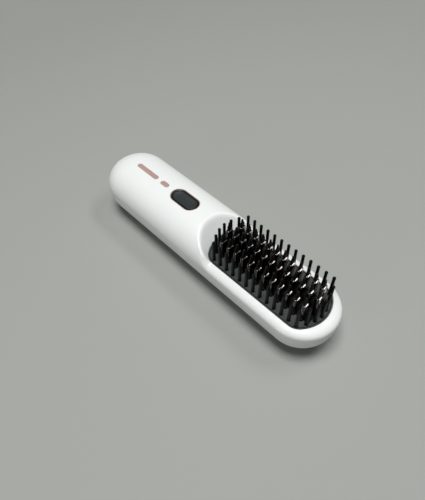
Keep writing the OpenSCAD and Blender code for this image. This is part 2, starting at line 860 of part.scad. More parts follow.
module heater_tray() {
    color("#3a3632")
    difference() {
        union() {
            translate([0, 0, tray_bottom]) linear_extrude(strip_bottom - tray_bottom)
                polygon(plate_outline(-tray_inset));
            for (x = [-ear_x, ear_x]) for (s = [-1, 1])
                translate([comb_middle + x, s * ear_y, tray_bottom])
                screw_ear(s);
        }
        translate([comb_middle, 0, heating_bottom])
            linear_extrude(strip_bottom - heating_bottom + 1)
            round_rect_2d(2 * heating_reach + 0.6, 2 * heating_half + 0.6,
                heating_corner_r + 0.3);
        translate([comb_middle, 0, tray_top_of_floor])
            linear_extrude(strip_bottom - tray_top_of_floor + 1)
            round_rect_2d(2 * (heating_reach - tray_step), 2 * (heating_half - tray_step),
                heating_corner_r - tray_step);
        for (x = [-ear_x, ear_x]) for (s = [-1, 1])
            translate([comb_middle + x, s * ear_y, tray_bottom - 1])
            cylinder(r = small_screw_r + 0.2, h = ear_thickness + 2);
        for (s = [-1, 1]) translate([lead_drop_x, s * lead_y, tray_bottom - 1])
            cylinder(r = lead_r + 0.3, h = tray_floor + 2);
    }
}

// A screw ear that grows out of the tray's side wall
module screw_ear(side) {
    cylinder(r = ear_r, h = ear_thickness);
    translate([-ear_r, side > 0 ? -ear_reach : 0, 0])
        cube([2 * ear_r, ear_reach, ear_thickness]);
}

module heater_screws() {
    color("silver")
    for (x = [-ear_x, ear_x]) for (s = [-1, 1])
        translate([comb_middle + x, s * ear_y, tray_bottom - small_head_height])
        screw(small_screw_r, seat_bottom - tray_bottom + 0.3, small_head_r, small_head_height);
}

module thermistor() {
    color("peru")
    translate([comb_middle + 3, -side_part_y, heating_bottom - sensor_r])
        rotate([0, 90, 0]) cylinder(r = sensor_r, h = sensor_length);
}

module thermal_fuse() {
    color("silver")
    translate([comb_middle - fuse_length / 2, side_part_y, heating_bottom - fuse_r])
        rotate([0, 90, 0]) cylinder(r = fuse_r, h = fuse_length);
}

module heater_leads() {
    color("firebrick")
    for (s = [-1, 1])
        wire([[comb_middle - heater_length / 2, s * lead_y, heater_lead_level],
              [lead_drop_x, s * lead_y, heater_lead_level],
              [lead_drop_x, s * lead_y, lead_low],
              [lead_rise_x, s * lead_y, lead_low],
              [lead_rise_x, s * lead_y, board_bottom]]);
}

module main_board() {
    color("seagreen")
    difference() {
        block([board_start, -board_width / 2, board_bottom],
              [board_end, board_width / 2, board_top]);
        for (x = board_hole_x) for (s = [-1, 1])
            translate([x, s * board_hole_y, board_bottom - 1])
            cylinder(r = small_screw_r + 0.2, h = board_thickness + 2);
    }
}

module board_screws() {
    color("silver")
    for (x = board_hole_x) for (s = [-1, 1])
        translate([x, s * board_hole_y, board_bottom - small_head_height])
        screw(small_screw_r, board_thickness + board_grip, small_head_r, small_head_height);
}

module led_lamps() {
    color("ivory") {
        for (i = [-1.5 : 1 : 1.5]) lamp(bar_x + i * bar_length / 4);
        lamp(dot_x);
    }
}

module lamp(x) {
    block([x - lamp_length / 2, -lamp_width / 2, board_top],
          [x + lamp_length / 2, lamp_width / 2, board_top + lamp_height]);
}

module battery_cells() {
    color("steelblue")
    for (s = [-1, 1]) translate([cell_start, s * cell_y, cell_level])
        rotate([0, 90, 0]) cylinder(d = cell_d, h = cell_length);
}

module battery_cradle() {
    rib = 3;
    rib_margin = 5;
    keel = 2.4;
    rest_gap = 0.35;
    color("dimgray")
    difference() {
        intersection() {
            translate([0, 0, rest_gap])
                belly_solid(inner_half - rest_gap, belly_drop - wall, belly_flat);
            union() {
                for (i = [0 : 3]) {
                    x = cell_start + rib_margin + i * (cell_length - 2 * rib_margin - rib) / 3;
                    block([x, -half_width, 0], [x + rib, half_width, cell_level - cell_d / 4]);
                }
                block([cell_start + rib_margin, -keel / 2, 0],
                      [cell_end - rib_margin, keel / 2, cell_level - cell_d / 4]);
            }
        }
        for (s = [-1, 1]) translate([cell_start - 1, s * cell_y, cell_level])
            rotate([0, 90, 0]) cylinder(d = cell_d + slip, h = cell_length + 2);
    }
}

module nickel_strips() {
    color("silver")
    for (x = [cell_start - link_thickness, cell_end])
        block([x, -cell_y - link_overlap, cell_level - link_overlap],
              [x + link_thickness, cell_y + link_overlap, cell_level + link_overlap]);
}

module battery_leads() {
    level = cell_level + 2.5;
    front = cell_end + link_thickness;
    back = cell_start - link_thickness;
    color("crimson") {
        wire([[front, cell_y, level], [front + 1, cell_y, level],
              [front + 1, cell_y, board_bottom]]);
        wire([[back, -cell_y, level], [back - 1, -cell_y, level],
              [back - 1, -cell_y, board_bottom]]);
    }
}

module charge_board() {
    color("seagreen")
    block([charge_board_start, -charge_board_width / 2, charge_board_top - charge_board_thickness],
          [charge_board_end, charge_board_width / 2, charge_board_top]);
}

module usb_socket() {
    tongue = 0.7;
    color("silver") {
        difference() {
            along_x(socket_mouth, socket_mouth + socket_length)
                translate([0, socket_level]) capsule_2d(socket_width, socket_height);
            along_x(socket_mouth - 1, socket_mouth + socket_length - 1)
                translate([0, socket_level])
                capsule_2d(socket_width - 2 * socket_wall, socket_height - 2 * socket_wall);
        }
        block([socket_mouth + 1, -3.3, socket_level - tongue / 2],
              [socket_mouth + socket_length - 0.5, 3.3, socket_level + tongue / 2]);
    }
}

module charge_leads() {
    x = charge_board_end - charge_lead_inset;
    rise_x = board_start + lead_r + 0.2;
    bend = board_bottom - lead_r - 1.1;
    color("crimson")
    for (s = [-1, 1]) let (y = s * charge_lead_y)
        wire([[x, y, charge_board_top], [x, y, bend],
              [rise_x, y, bend], [rise_x, y, board_bottom]]);
}

module shell_screws() {
    color("silver")
    for (p = screw_places) translate([p[0], p[1], head_seat - shell_head_height])
        screw(shell_screw_r, shell_screw_top - head_seat, shell_head_r, shell_head_height);
}

module screw_plugs() {
    color("white")
    intersection() {
        belly_solid(half_width, belly_drop, belly_flat);
        for (p = screw_places) translate([p[0], p[1], -1])
            cylinder(r = counterbore_r - plug_slip, h = head_seat - shell_head_height + 1);
    }
}

top_shell();
bottom_shell();
button_trim();
button_frame();
button_cap();
switch_plunger();
tact_switch();
charge_light_bar();
status_light();
cover_plate();
guard_bristles();
heating_plate();
tooth_tips();
heater_strip();
mica_sheet();
heater_clamp();
heater_tray();
heater_screws();
thermistor();
thermal_fuse();
heater_leads();
main_board();
board_screws();
led_lamps();
battery_cells();
battery_cradle();
nickel_strips();
battery_leads();
charge_board();
usb_socket();
charge_leads();
shell_screws();
screw_plugs();
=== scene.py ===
import logging
import math
from dataclasses import dataclass
from enum import Enum
from typing import Callable, Iterable, Sequence

import bmesh
import bpy
import numpy as np
from mathutils import Matrix, Vector


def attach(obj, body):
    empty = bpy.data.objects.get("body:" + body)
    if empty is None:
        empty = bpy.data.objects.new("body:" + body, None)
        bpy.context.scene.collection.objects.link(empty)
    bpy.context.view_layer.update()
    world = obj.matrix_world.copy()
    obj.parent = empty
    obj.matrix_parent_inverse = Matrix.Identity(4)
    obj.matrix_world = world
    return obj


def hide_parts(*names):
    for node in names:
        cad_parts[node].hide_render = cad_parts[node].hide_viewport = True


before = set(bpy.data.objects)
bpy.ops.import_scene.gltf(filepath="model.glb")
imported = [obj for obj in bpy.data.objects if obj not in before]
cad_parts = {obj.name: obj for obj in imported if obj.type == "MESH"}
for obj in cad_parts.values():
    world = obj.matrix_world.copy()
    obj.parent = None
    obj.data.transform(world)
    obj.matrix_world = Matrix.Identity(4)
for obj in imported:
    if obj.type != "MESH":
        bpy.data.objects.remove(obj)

LOG = logging.getLogger("hot_comb")
MM = 0.001
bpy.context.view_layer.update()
HOUSING = "housing"
BUTTON = "power_button"


# ---------------------------------------------------------------- small helpers


def linear(colour: str) -> tuple[float, float, float, float]:
    """Turn an sRGB hex colour into the linear values a shader takes.

    Args:
        colour: Six hex digits, with or without a leading hash.

    Returns:
        Linear red, green and blue with an alpha of one.
    """
    digits = colour.lstrip("#")
    parts = [int(digits[i:i + 2], 16) / 255 for i in (0, 2, 4)]
    curve = [p / 12.92 if p <= 0.04045 else ((p + 0.055) / 1.055) ** 2.4 for p in parts]
    return (curve[0], curve[1], curve[2], 1.0)


def add_node(tree: bpy.types.NodeTree, kind: str, settings: dict | None = None,
             inputs: dict | None = None, links: dict | None = None) -> bpy.types.Node:
    """Add one shader node with its settings, its constants and what feeds it.

    Args:
        tree: The node tree that gets the node.
        kind: Blender's identifier of the node type.
        settings: Attributes set on the node.
        inputs: Input sockets, by name or index, and their constants.
        links: Input sockets, by name or index, and the outputs linked to them.

    Returns:
        The new node.
    """
    node = tree.nodes.new(kind)
    for name, value in (settings or {}).items():
        setattr(node, name, value)
    for name, value in (inputs or {}).items():
        node.inputs[name].default_value = value
    for name, output in (links or {}).items():
        tree.links.new(output, node.inputs[name])
    return node


def smooth(t: np.ndarray) -> np.ndarray:
    """Ease from 0 to 1 with level ends."""
    t = np.clip(t, 0.0, 1.0)
    return t * t * (3 - 2 * t)


# ---------------------------------------------------------------- finishes


class Surface(Enum):
    """How the surface of a material was made."""

    SPARK_ERODED = "moulded in a spark eroded tool: fine even grain"
    POLISHED = "moulded in a polished tool: faint broad ripples"
    BRUSHED = "drawn or brushed along the length: long streaks"
    CAST = "cast, pressed or sintered: rounded cells"
    PRINTED = "printed and lacquered: very fine grain"


@dataclass(frozen=True)
class Finish:
    """A material: what it is made of and how its surface was made.

    Attributes:
        name: What the real material is, in a maker's words.
        colour: Its main colour as sRGB hex.
        second: A slightly different tone that it drifts to, as sRGB hex.
        roughness: Middle of its roughness.
        spread: How far the roughness wanders to each side.
        metallic: 1 for bare metal, 0 for anything else.
        surface: How the surface was made.
        grain_mm: Size of the surface's grain.
        relief: Strength of the grain's relief.
        coat: Weight of a clear coat.
        coat_roughness: Roughness of the clear coat.
        specular: Specular level, where it isn't the usual 0.5.
        drift_mm: Size of the patches in which the tone drifts.
        streak: How far a brushed grain is drawn out, as a share of its width.
    """

    name: str
    colour: str
    second: str
    roughness: float
    spread: float = 0.05
    metallic: float = 0.0
    surface: Surface = Surface.SPARK_ERODED
    grain_mm: float = 0.35
    relief: float = 0.08
    coat: float = 0.0
    coat_roughness: float = 0.1
    specular: float = 0.5
    drift_mm: float = 14.0
    streak: float = 0.06

    def build(self) -> bpy.types.Material:
        """Make the material's node tree.

        Returns:
            The material, ready for a slot.
        """
        material = bpy.data.materials.new(self.name)
        material.use_nodes = True
        material.diffuse_color = linear(self.colour)
        tree = material.node_tree
        shader = tree.nodes["Principled BSDF"]
        for socket, value in (("Metallic", self.metallic), ("Coat Weight", self.coat),
                              ("Coat Roughness", self.coat_roughness),
                              ("Specular IOR Level", self.specular)):
            shader.inputs[socket].default_value = value
        place = self.place(tree)
        grain = self.grain(tree, place)
        drift = add_node(tree, "ShaderNodeTexNoise", links={"Vector": place},
                         inputs={"Scale": 1 / (self.drift_mm * MM), "Detail": 2.0})
        tone = add_node(tree, "ShaderNodeMix", {"data_type": "RGBA"},
                        {6: linear(self.colour), 7: linear(self.second)},
                        {0: drift.outputs["Fac"]})
        tree.links.new(tone.outputs[2], shader.inputs["Base Color"])
        gloss = add_node(tree, "ShaderNodeMapRange",
                         inputs={"To Min": self.roughness - self.spread,
                                 "To Max": self.roughness + self.spread},
                         links={"Value": grain})
        tree.links.new(gloss.outputs["Result"], shader.inputs["Roughness"])
        bump = add_node(tree, "ShaderNodeBump",
                        inputs={"Strength": self.relief, "Distance": self.grain_mm * MM / 4},
                        links={"Height": grain})
        tree.links.new(bump.outputs["Normal"], shader.inputs["Normal"])
        return material

    def place(self, tree: bpy.types.NodeTree) -> bpy.types.NodeSocket:
        """Give the point being shaded, stretched where the surface is brushed.

        Args:
            tree: The material's node tree.

        Returns:
            The socket that carries the point, in metres.
        """
        coordinates = add_node(tree, "ShaderNodeTexCoord")
        along = self.streak if self.surface is Surface.BRUSHED else 1.0
        mapping = add_node(tree, "ShaderNodeMapping", inputs={"Scale": (along, 1.0, 1.0)},
                           links={"Vector": coordinates.outputs["Object"]})
        return mapping.outputs["Vector"]

    def grain(self, tree: bpy.types.NodeTree,
              place: bpy.types.NodeSocket) -> bpy.types.NodeSocket:
        """Draw the surface's grain at its real size.

        Args:
            tree: The material's node tree.
            place: The point being shaded.

        Returns:
            A socket that runs from 0 to 1 over the grain.
        """
        scale = 1 / (self.grain_mm * MM)
        if self.surface is Surface.CAST:
            cells = add_node(tree, "ShaderNodeTexVoronoi", {"feature": "SMOOTH_F1"},
                             {"Scale": scale, "Smoothness": 0.6}, {"Vector": place})
            return cells.outputs["Distance"]
        detail = 1.0 if self.surface is Surface.POLISHED else 4.0
        noise = add_node(tree, "ShaderNodeTexNoise",
                         inputs={"Scale": scale, "Detail": detail, "Roughness": 0.55},
                         links={"Vector": place})
        return noise.outputs["Fac"]


@dataclass(frozen=True)
class CircuitFinish(Finish):
    """Solder mask over copper tracks on a circuit board.

    Attributes:
        track: Colour of the mask over a track, as sRGB hex.
        track_mm: Spacing of the tracks.
        track_share: Width of a track as a share of that spacing.
        run: Length of a straight run of track as a share of that spacing.
    """

    track: str = "#2f7a4e"
    track_mm: float = 1.6
    track_share: float = 0.06
    run: float = 3.0

    def build(self) -> bpy.types.Material:
        """Make the board's material: the plain mask with tracks drawn over it.

        Returns:
            The material, ready for a slot.
        """
        material = super().build()
        tree = material.node_tree
        shader = tree.nodes["Principled BSDF"]
        under = shader.inputs["Base Color"].links[0].from_socket
        coordinates = add_node(tree, "ShaderNodeTexCoord")
        tracks = add_node(tree, "ShaderNodeTexBrick", inputs={
            "Scale": 1 / (self.track_mm * MM), "Mortar Size": self.track_share,
            "Brick Width": self.run, "Color1": (0, 0, 0, 1), "Color2": (0, 0, 0, 1),
            "Mortar": (1, 1, 1, 1)},
            links={"Vector": coordinates.outputs["Object"]})
        mix = add_node(tree, "ShaderNodeMix", {"data_type": "RGBA"}, {7: linear(self.track)},
                       {0: tracks.outputs["Color"], 6: under})
        tree.links.new(mix.outputs[2], shader.inputs["Base Color"])
        return material


@dataclass(frozen=True)
class PlateFinish(Finish):
    """Glass-filled plastic, with painted shade: near-black over the field round the teeth.

    Attributes:
        painted_shade: Colour of the painted shade over the field and in the border groove, as sRGB
            hex.
        middle_mm: Middle of the painted-shade field along the comb.
        shade_field_mm: Half-length and half-width of the painted-shade field.
        face_mm: Height of the plate's face; the painted shade also fills what lies lower.
        edge_mm: Softness of the field's edge, to each side.
        shade_sunk_mm: Depths below the face where the painted shade starts and where it is whole.
        sheen: Specular level of the bare plastic and of the painted-shade field. The plain specular
            level
        is between them, for a viewer that keeps only one.
    """

    painted_shade: str = "#070708"
    middle_mm: float = 46.8
    shade_field_mm: tuple[float, float] = (33.6, 8.6)
    face_mm: float = 26.0
    edge_mm: float = 0.4
    shade_sunk_mm: tuple[float, float] = (0.05, 0.15)
    sheen: tuple[float, float] = (0.4, 0.05)

    def build(self) -> bpy.types.Material:
        """Make the plate's material: the plain plastic with the painted shade of the field over it.

        Returns:
            The material, ready for a slot.
        """
        material = super().build()
        tree = material.node_tree
        shader = tree.nodes["Principled BSDF"]
        under = shader.inputs["Base Color"].links[0].from_socket
        coordinates = add_node(tree, "ShaderNodeTexCoord")
        shift = add_node(tree, "ShaderNodeVectorMath", {"operation": "SUBTRACT"},
                         {1: (self.middle_mm * MM, 0.0, 0.0)}, {0: coordinates.outputs["Object"]})
        size = add_node(tree, "ShaderNodeVectorMath", {"operation": "ABSOLUTE"},
                        links={0: shift.outputs[0]})
        axes = add_node(tree, "ShaderNodeSeparateXYZ", links={0: size.outputs[0]})
        inside = []
        for axis, half in zip("XY", self.shade_field_mm):
            edge = add_node(tree, "ShaderNodeMapRange",
                            inputs={"From Min": (half - self.edge_mm) * MM,
                                    "From Max": (half + self.edge_mm) * MM,
                                    "To Min": 1.0, "To Max": 0.0},
                            links={"Value": axes.outputs[axis]})
            inside.append(edge.outputs["Result"])
        flat = add_node(tree, "ShaderNodeMath", {"operation": "MULTIPLY"},
                        links={0: inside[0], 1: inside[1]})
        sunk = add_node(tree, "ShaderNodeMapRange",
                        inputs={"From Min": (self.face_mm - self.shade_sunk_mm[1]) * MM,
                                "From Max": (self.face_mm - self.shade_sunk_mm[0]) * MM,
                                "To Min": 1.0, "To Max": 0.0},
                        links={"Value": axes.outputs["Z"]})
        field = add_node(tree, "ShaderNodeMath", {"operation": "MAXIMUM"},
                         links={0: flat.outputs[0], 1: sunk.outputs["Result"]})
        # Painted shade: near-black mixed over the field round the teeth and into the sunk border
        # groove, where shade falls.
        mix = add_node(tree, "ShaderNodeMix", {"data_type": "RGBA"}, {7: linear(self.painted_shade)},
                       {0: field.outputs[0], 6: under})
        tree.links.new(mix.outputs[2], shader.inputs["Base Color"])
        # The painted-shade field also gets a lower specular level.
        sheen = add_node(tree, "ShaderNodeMapRange", links={"Value": field.outputs[0]},
                         inputs={"To Min": self.sheen[0], "To Max": self.sheen[1]})
        tree.links.new(sheen.outputs["Result"], shader.inputs["Specular IOR Level"])
        return material


# Real moulded grain is about 0.05 to 0.1 mm, and that of brushed metal is finer still. Both are
# too fine to show from here, so they are drawn at 0.15 to 0.6 mm.

# White ABS from a finely spark-eroded mould: a soft sheen with a very fine even grain.
WHITE_ABS = Finish("white_abs_satin", "#e9ecea", "#e6e9e7", 0.42, 0.04, grain_mm=0.3, relief=0.05)
# Rose-gold lacquer with metal flake on ABS: a warm, silky gleam.
ROSE_LACQUER = Finish("rose_gold_lacquer", "#c9a9a2", "#bd9b94", 0.34, 0.05, metallic=0.35,
                      surface=Surface.PRINTED, grain_mm=0.15, relief=0.05, coat=0.2)
# The same lacquer on the thin ring, painted a tone paler and less metallic: painted light, so the
# thin ring reads as lit.
LIT_ROSE_RING = Finish("rose_gold_ring_lit", "#dcc0ba", "#d4b5ae", 0.34, 0.05, metallic=0.2,
                   surface=Surface.PRINTED, grain_mm=0.15, relief=0.05, coat=0.2)
# Black ABS collar, satin from the mould.
BLACK_ABS = Finish("black_abs_satin", "#0d0e10", "#121315", 0.38, 0.05, grain_mm=0.3)
# Slate-grey soft-touch paint on the button: dull, with a faint sheen.
SLATE_SOFT = Finish("slate_soft_touch", "#1c2225", "#1f2528", 0.5, 0.05, grain_mm=0.25,
                    specular=0.4)
# Slate-grey glass-filled PBT face plate: heat-proof, matt, with a fine erosion grain.
# Round the teeth and in its border groove it is painted near-black: painted shade, where the deep
# shade falls between the teeth and in the groove.
SLATE_PBT = PlateFinish("slate_pbt_plate", "#353a39", "#303534", 0.46, 0.06, grain_mm=0.4,
                        relief=0.12, specular=0.2)
# Near-black nylon of the guard pins: matt and a little waxy.
BLACK_NYLON = Finish("black_nylon_matt", "#070708", "#0a0a0b", 0.5, 0.06, grain_mm=0.2,
                     relief=0.06, specular=0.12)
# High-temperature nylon of the tooth tips: drier and duller than the guard pins.
TIP_NYLON = Finish("heatproof_nylon_tip", "#070608", "#09080a", 0.55, 0.06, grain_mm=0.2,
                   specular=0.2)
# Die-cast aluminium teeth under a dark brown ceramic glaze: glossy over a cast grain.
GLAZED_CASTING = Finish("dark_ceramic_glaze", "#3d3634", "#443c39", 0.11, 0.02, metallic=1.0,
                        surface=Surface.CAST, grain_mm=0.5, relief=0.02, coat=1.0,
                        coat_roughness=0.08)
# Sintered alumina heater: chalky off-white with a fine grit.
ALUMINA = Finish("alumina_ceramic", "#e8e2d6", "#ded7c9", 0.6, 0.06, surface=Surface.CAST,
                 grain_mm=0.3, relief=0.1)
# Mica paper: warm, flaky, slightly shiny.
MICA = Finish("mica_paper", "#bda878", "#a89263", 0.35, 0.1, surface=Surface.CAST, grain_mm=1.2,
              relief=0.15)
# Dark phenolic resin, moulded: matt with a coarse flow grain.
PHENOLIC = Finish("phenolic_resin", "#34312e", "#2b2826", 0.55, 0.06, grain_mm=0.6, relief=0.12)
# Zinc-plated or spring steel, drawn and brushed along its length.
BRUSHED_STEEL = Finish("brushed_steel", "#b9bbbd", "#a9abae", 0.32, 0.08, metallic=1.0,
                       surface=Surface.BRUSHED, grain_mm=0.25, relief=0.1)
# Nickel strip and tin-plated shells: rolled, a little yellow.
ROLLED_NICKEL = Finish("rolled_nickel", "#c6c2b8", "#b7b2a6", 0.28, 0.06, metallic=1.0,
                       surface=Surface.BRUSHED, grain_mm=0.2, relief=0.08)
# Glass-bead temperature sensor: amber and glossy.
AMBER_BEAD = Finish("amber_glass_bead", "#b0743a", "#9c632e", 0.12, 0.03,
                    surface=Surface.POLISHED, grain_mm=0.8, relief=0.02, coat=0.5)
# Silicone rubber sleeve of the leads: soft red with a waxy sheen.
RED_SILICONE = Finish("red_silicone_sleeve", "#a02824", "#8f211e", 0.45, 0.06, grain_mm=0.3)
# Heat-shrunk PVC wrap of a cell: blue and shiny with faint ripples.
CELL_WRAP = Finish("blue_pvc_wrap", "#2f6f9e", "#2a6591", 0.22, 0.05, surface=Surface.POLISHED,
                   grain_mm=3.0, relief=0.08, coat=0.3)
# Green solder mask over copper tracks.
SOLDER_MASK = CircuitFinish("green_solder_mask", "#1f5a3a", "#1c5235", 0.3, 0.05, grain_mm=0.5)
# Moulded epoxy of the lamps: milky.
LAMP_EPOXY = Finish("milky_lamp_epoxy", "#efe9dc", "#e6dfd0", 0.25, 0.05,
                    surface=Surface.POLISHED, grain_mm=0.5, relief=0.03, coat=0.3)

PAINTED: dict[str, bpy.types.Material] = {}


def paint(finish: Finish) -> bpy.types.Material:
    """Give the material of a finish, made once and shared.

    Args:
        finish: The finish.

    Returns:
        Its material.
    """
    if finish.name not in PAINTED:
        PAINTED[finish.name] = finish.build()
    return PAINTED[finish.name]


# ---------------------------------------------------------------- mesh tools


def grid_sheet(points: np.ndarray, wrap: bool = True) -> bmesh.types.BMesh:
    """Lay a grid over rows of points and weld its seam and poles.

    Args:
        points: Rows, columns and x, y, z in millimetres.
        wrap: Whether each row closes on itself.

    Returns:
        The mesh, in millimetres.
    """
    if wrap:
        points = np.concatenate([points, points[:, :1]], axis=1)
    rows, columns = points.shape[0] - 1, points.shape[1] - 1
    bm = bmesh.new()
    bmesh.ops.create_grid(bm, x_segments=rows, y_segments=columns, size=0.5)
    for vert in bm.verts:
        row = round((vert.co.x + 0.5) * rows)
        column = round((vert.co.y + 0.5) * columns)
        vert.co = Vector(points[row, column])
    bmesh.ops.remove_doubles(bm, verts=bm.verts, dist=0.002)
    bmesh.ops.dissolve_degenerate(bm, edges=bm.edges, dist=0.0005)
    return bm


def at_level(plan: np.ndarray, level: np.ndarray | float) -> np.ndarray:
    """Lift a walk in plan to a level.

    Args:
        plan: Rows of x and y.
        level: One height, or one for each row.

    Returns:
        Rows of x, y and z.
    """
    height = np.broadcast_to(level, plan.shape[:1])
    return np.concatenate([plan, height[:, None]], axis=1)


def oval(turns: np.ndarray, half_x: float, half_y: float, blend: float) -> np.ndarray:
    """Walk round an oval whose corners are filled out.

    Args:
        turns: Angles round the oval.
        half_x: Half of its size along X.
        half_y: Half of its size along Y.
        blend: Power of the sine and cosine; 1 is a plain ellipse, less is fuller.

    Returns:
        Rows of x and y.
    """
    x = half_x * np.sign(np.cos(turns)) * np.abs(np.cos(turns)) ** blend
    y = half_y * np.sign(np.sin(turns)) * np.abs(np.sin(turns)) ** blend
    return np.stack([x, y], axis=1)


def face_outwards(bm: bmesh.types.BMesh) -> None:
    """Turn every face of a closed shape outwards."""
    bmesh.ops.recalc_face_normals(bm, faces=bm.faces)


def join(parts: Iterable[bmesh.types.BMesh]) -> bmesh.types.BMesh:
    """Put several shapes into one mesh.

    Args:
        parts: The shapes, which are used up.

    Returns:
        One mesh that holds them all as separate islands.
    """
    whole = bmesh.new()
    for part in parts:
        carrier = bpy.data.meshes.new("carrier")
        part.to_mesh(carrier)
        part.free()
        whole.from_mesh(carrier)
        bpy.data.meshes.remove(carrier)
    return whole


def repeat(pattern: bmesh.types.BMesh,
           places: Iterable[Sequence[float]]) -> bmesh.types.BMesh:
    """Set copies of a shape at several places.

    Args:
        pattern: The shape, used up.
        places: Where the copies go, as x, y, z in millimetres.

    Returns:
        One mesh with every copy.
    """
    carrier = bpy.data.meshes.new("carrier")
    pattern.to_mesh(carrier)
    pattern.free()
    whole = bmesh.new()
    for place in places:
        before = len(whole.verts)
        whole.from_mesh(carrier)
        whole.verts.ensure_lookup_table()
        bmesh.ops.translate(whole, verts=whole.verts[before:], vec=Vector(place))
    bpy.data.meshes.remove(carrier)
    return whole


def lathe(profile: Sequence[tuple[float, float]], steps: int) -> bmesh.types.BMesh:
    """Spin a profile once round the Z axis.

    Args:
        profile: Radius and height of its points, starting and ending on the axis.
        steps: Number of steps in the turn.

    Returns:
        The closed round shape.
    """
    bm = bmesh.new()
    verts = [bm.verts.new((r, 0, z)) for r, z in profile]
    edges = [bm.edges.new(pair) for pair in zip(verts, verts[1:])]
    bmesh.ops.spin(bm, geom=verts + edges, cent=(0, 0, 0), axis=(0, 0, 1),
                   angle=math.tau, steps=steps, use_merge=True)
    bmesh.ops.remove_doubles(bm, verts=bm.verts, dist=0.001)
    face_outwards(bm)
    return bm


def rounded_block(low: Sequence[float], high: Sequence[float], upright: float, rim: float,
                  segments: int = 3) -> bmesh.types.BMesh:
    """Make a block with rounded uprights and a softer rim.

    Args:
        low: Its lowest corner in millimetres.
        high: Its highest corner.
        upright: Radius of the four upright edges.
        rim: Radius of the top and bottom edges.
        segments: Steps in each rounding.

    Returns:
        The closed block.
    """
    bm = bmesh.new()
    bmesh.ops.create_cube(bm, size=1.0)
    size = [b - a for a, b in zip(low, high)]
    middle = [(a + b) / 2 for a, b in zip(low, high)]
    bmesh.ops.scale(bm, vec=Vector(size), verts=bm.verts)
    bmesh.ops.translate(bm, vec=Vector(middle), verts=bm.verts)
    soften(bm, upright, segments * 2, lambda e: abs(direction(e).z) > 0.9)
    soften(bm, rim, segments, lambda e: abs(direction(e).z) < 0.1 and e.calc_face_angle(0) > 1.0)
    return bm


def flat_level(height: float) -> Callable[[np.ndarray, np.ndarray], np.ndarray]:
    """Give a level surface for a capsule to stand on."""
    return lambda x, y: np.full(x.shape, height)


def direction(edge: bmesh.types.BMEdge) -> Vector:
    """Give the direction of an edge, one long."""
    return (edge.verts[1].co - edge.verts[0].co).normalized()


def soften(bm: bmesh.types.BMesh, radius: float, segments: int,
           choose: Callable[[bmesh.types.BMEdge], bool]) -> None:
    """Round the chosen edges.

    Args:
        bm: The mesh.
        radius: Size of the rounding in millimetres.
        segments: Steps in the rounding.
        choose: Says whether an edge is rounded.
    """
    if radius <= 0:
        return
    edges = [e for e in bm.edges if choose(e)]
    bmesh.ops.bevel(bm, geom=edges, offset=radius, offset_type="OFFSET", segments=segments,
                    profile=0.5, affect="EDGES", clamp_overlap=True, material=-1)


def place_object(name: str, bm: bmesh.types.BMesh, finish: Finish,
                 crease: float = 40.0) -> bpy.types.Object:
    """Turn a mesh in millimetres into an object in metres.

    Args:
        name: Name of the object.
        bm: The mesh, used up.
        finish: Its material.
        crease: Edges sharper than this many degrees stay sharp.

    Returns:
        The object, at the origin.
    """
    bmesh.ops.scale(bm, vec=(MM, MM, MM), verts=bm.verts)
    for face in bm.faces:
        face.smooth = True
    mesh = bpy.data.meshes.new(name)
    bm.to_mesh(mesh)
    bm.free()
    mesh.set_sharp_from_angle(angle=math.radians(crease))
    mesh.materials.append(paint(finish))
    obj = bpy.data.objects.new(name, mesh)
    bpy.context.scene.collection.objects.link(obj)
    return obj


def carve(obj: bpy.types.Object, cutters: Sequence[bmesh.types.BMesh],
          crease: float = 40.0) -> None:
    """Cut closed shapes out of an object for good.

    Args:
        obj: The object that is cut.
        cutters: Closed shapes in millimetres, used up.
        crease: Edges sharper than this many degrees stay sharp.
    """
    tool = place_object("cutter", join(cutters), WHITE_ABS)
    cut = obj.modifiers.new("cut", "BOOLEAN")
    cut.operation, cut.solver, cut.object = "DIFFERENCE", "EXACT", tool
    depsgraph = bpy.context.evaluated_depsgraph_get()
    mesh = bpy.data.meshes.new_from_object(obj.evaluated_get(depsgraph))
    obj.modifiers.clear()
    old, obj.data = obj.data, mesh
    bpy.data.meshes.remove(old)
    bpy.data.objects.remove(tool)
    mesh.name = obj.name
    mesh.set_sharp_from_angle(angle=math.radians(crease))


def seat(obj: bpy.types.Object, body: str, slot: str, *nodes: str) -> bpy.types.Object:
    """Tie a piece to its body, and hide the nodes it stands for.

    Args:
        obj: The piece.
        body: The moving body it rides on.
        slot: The record's material slot; not used.
        nodes: CAD nodes that it replaces.

    Returns:
        The piece.
    """
    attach(obj, body)
    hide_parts(*nodes)
    LOG.info("piece %s: %d faces, on %s, for %s", obj.name, len(obj.data.polygons), body, nodes)
    return obj


# ---------------------------------------------------------------- the forms


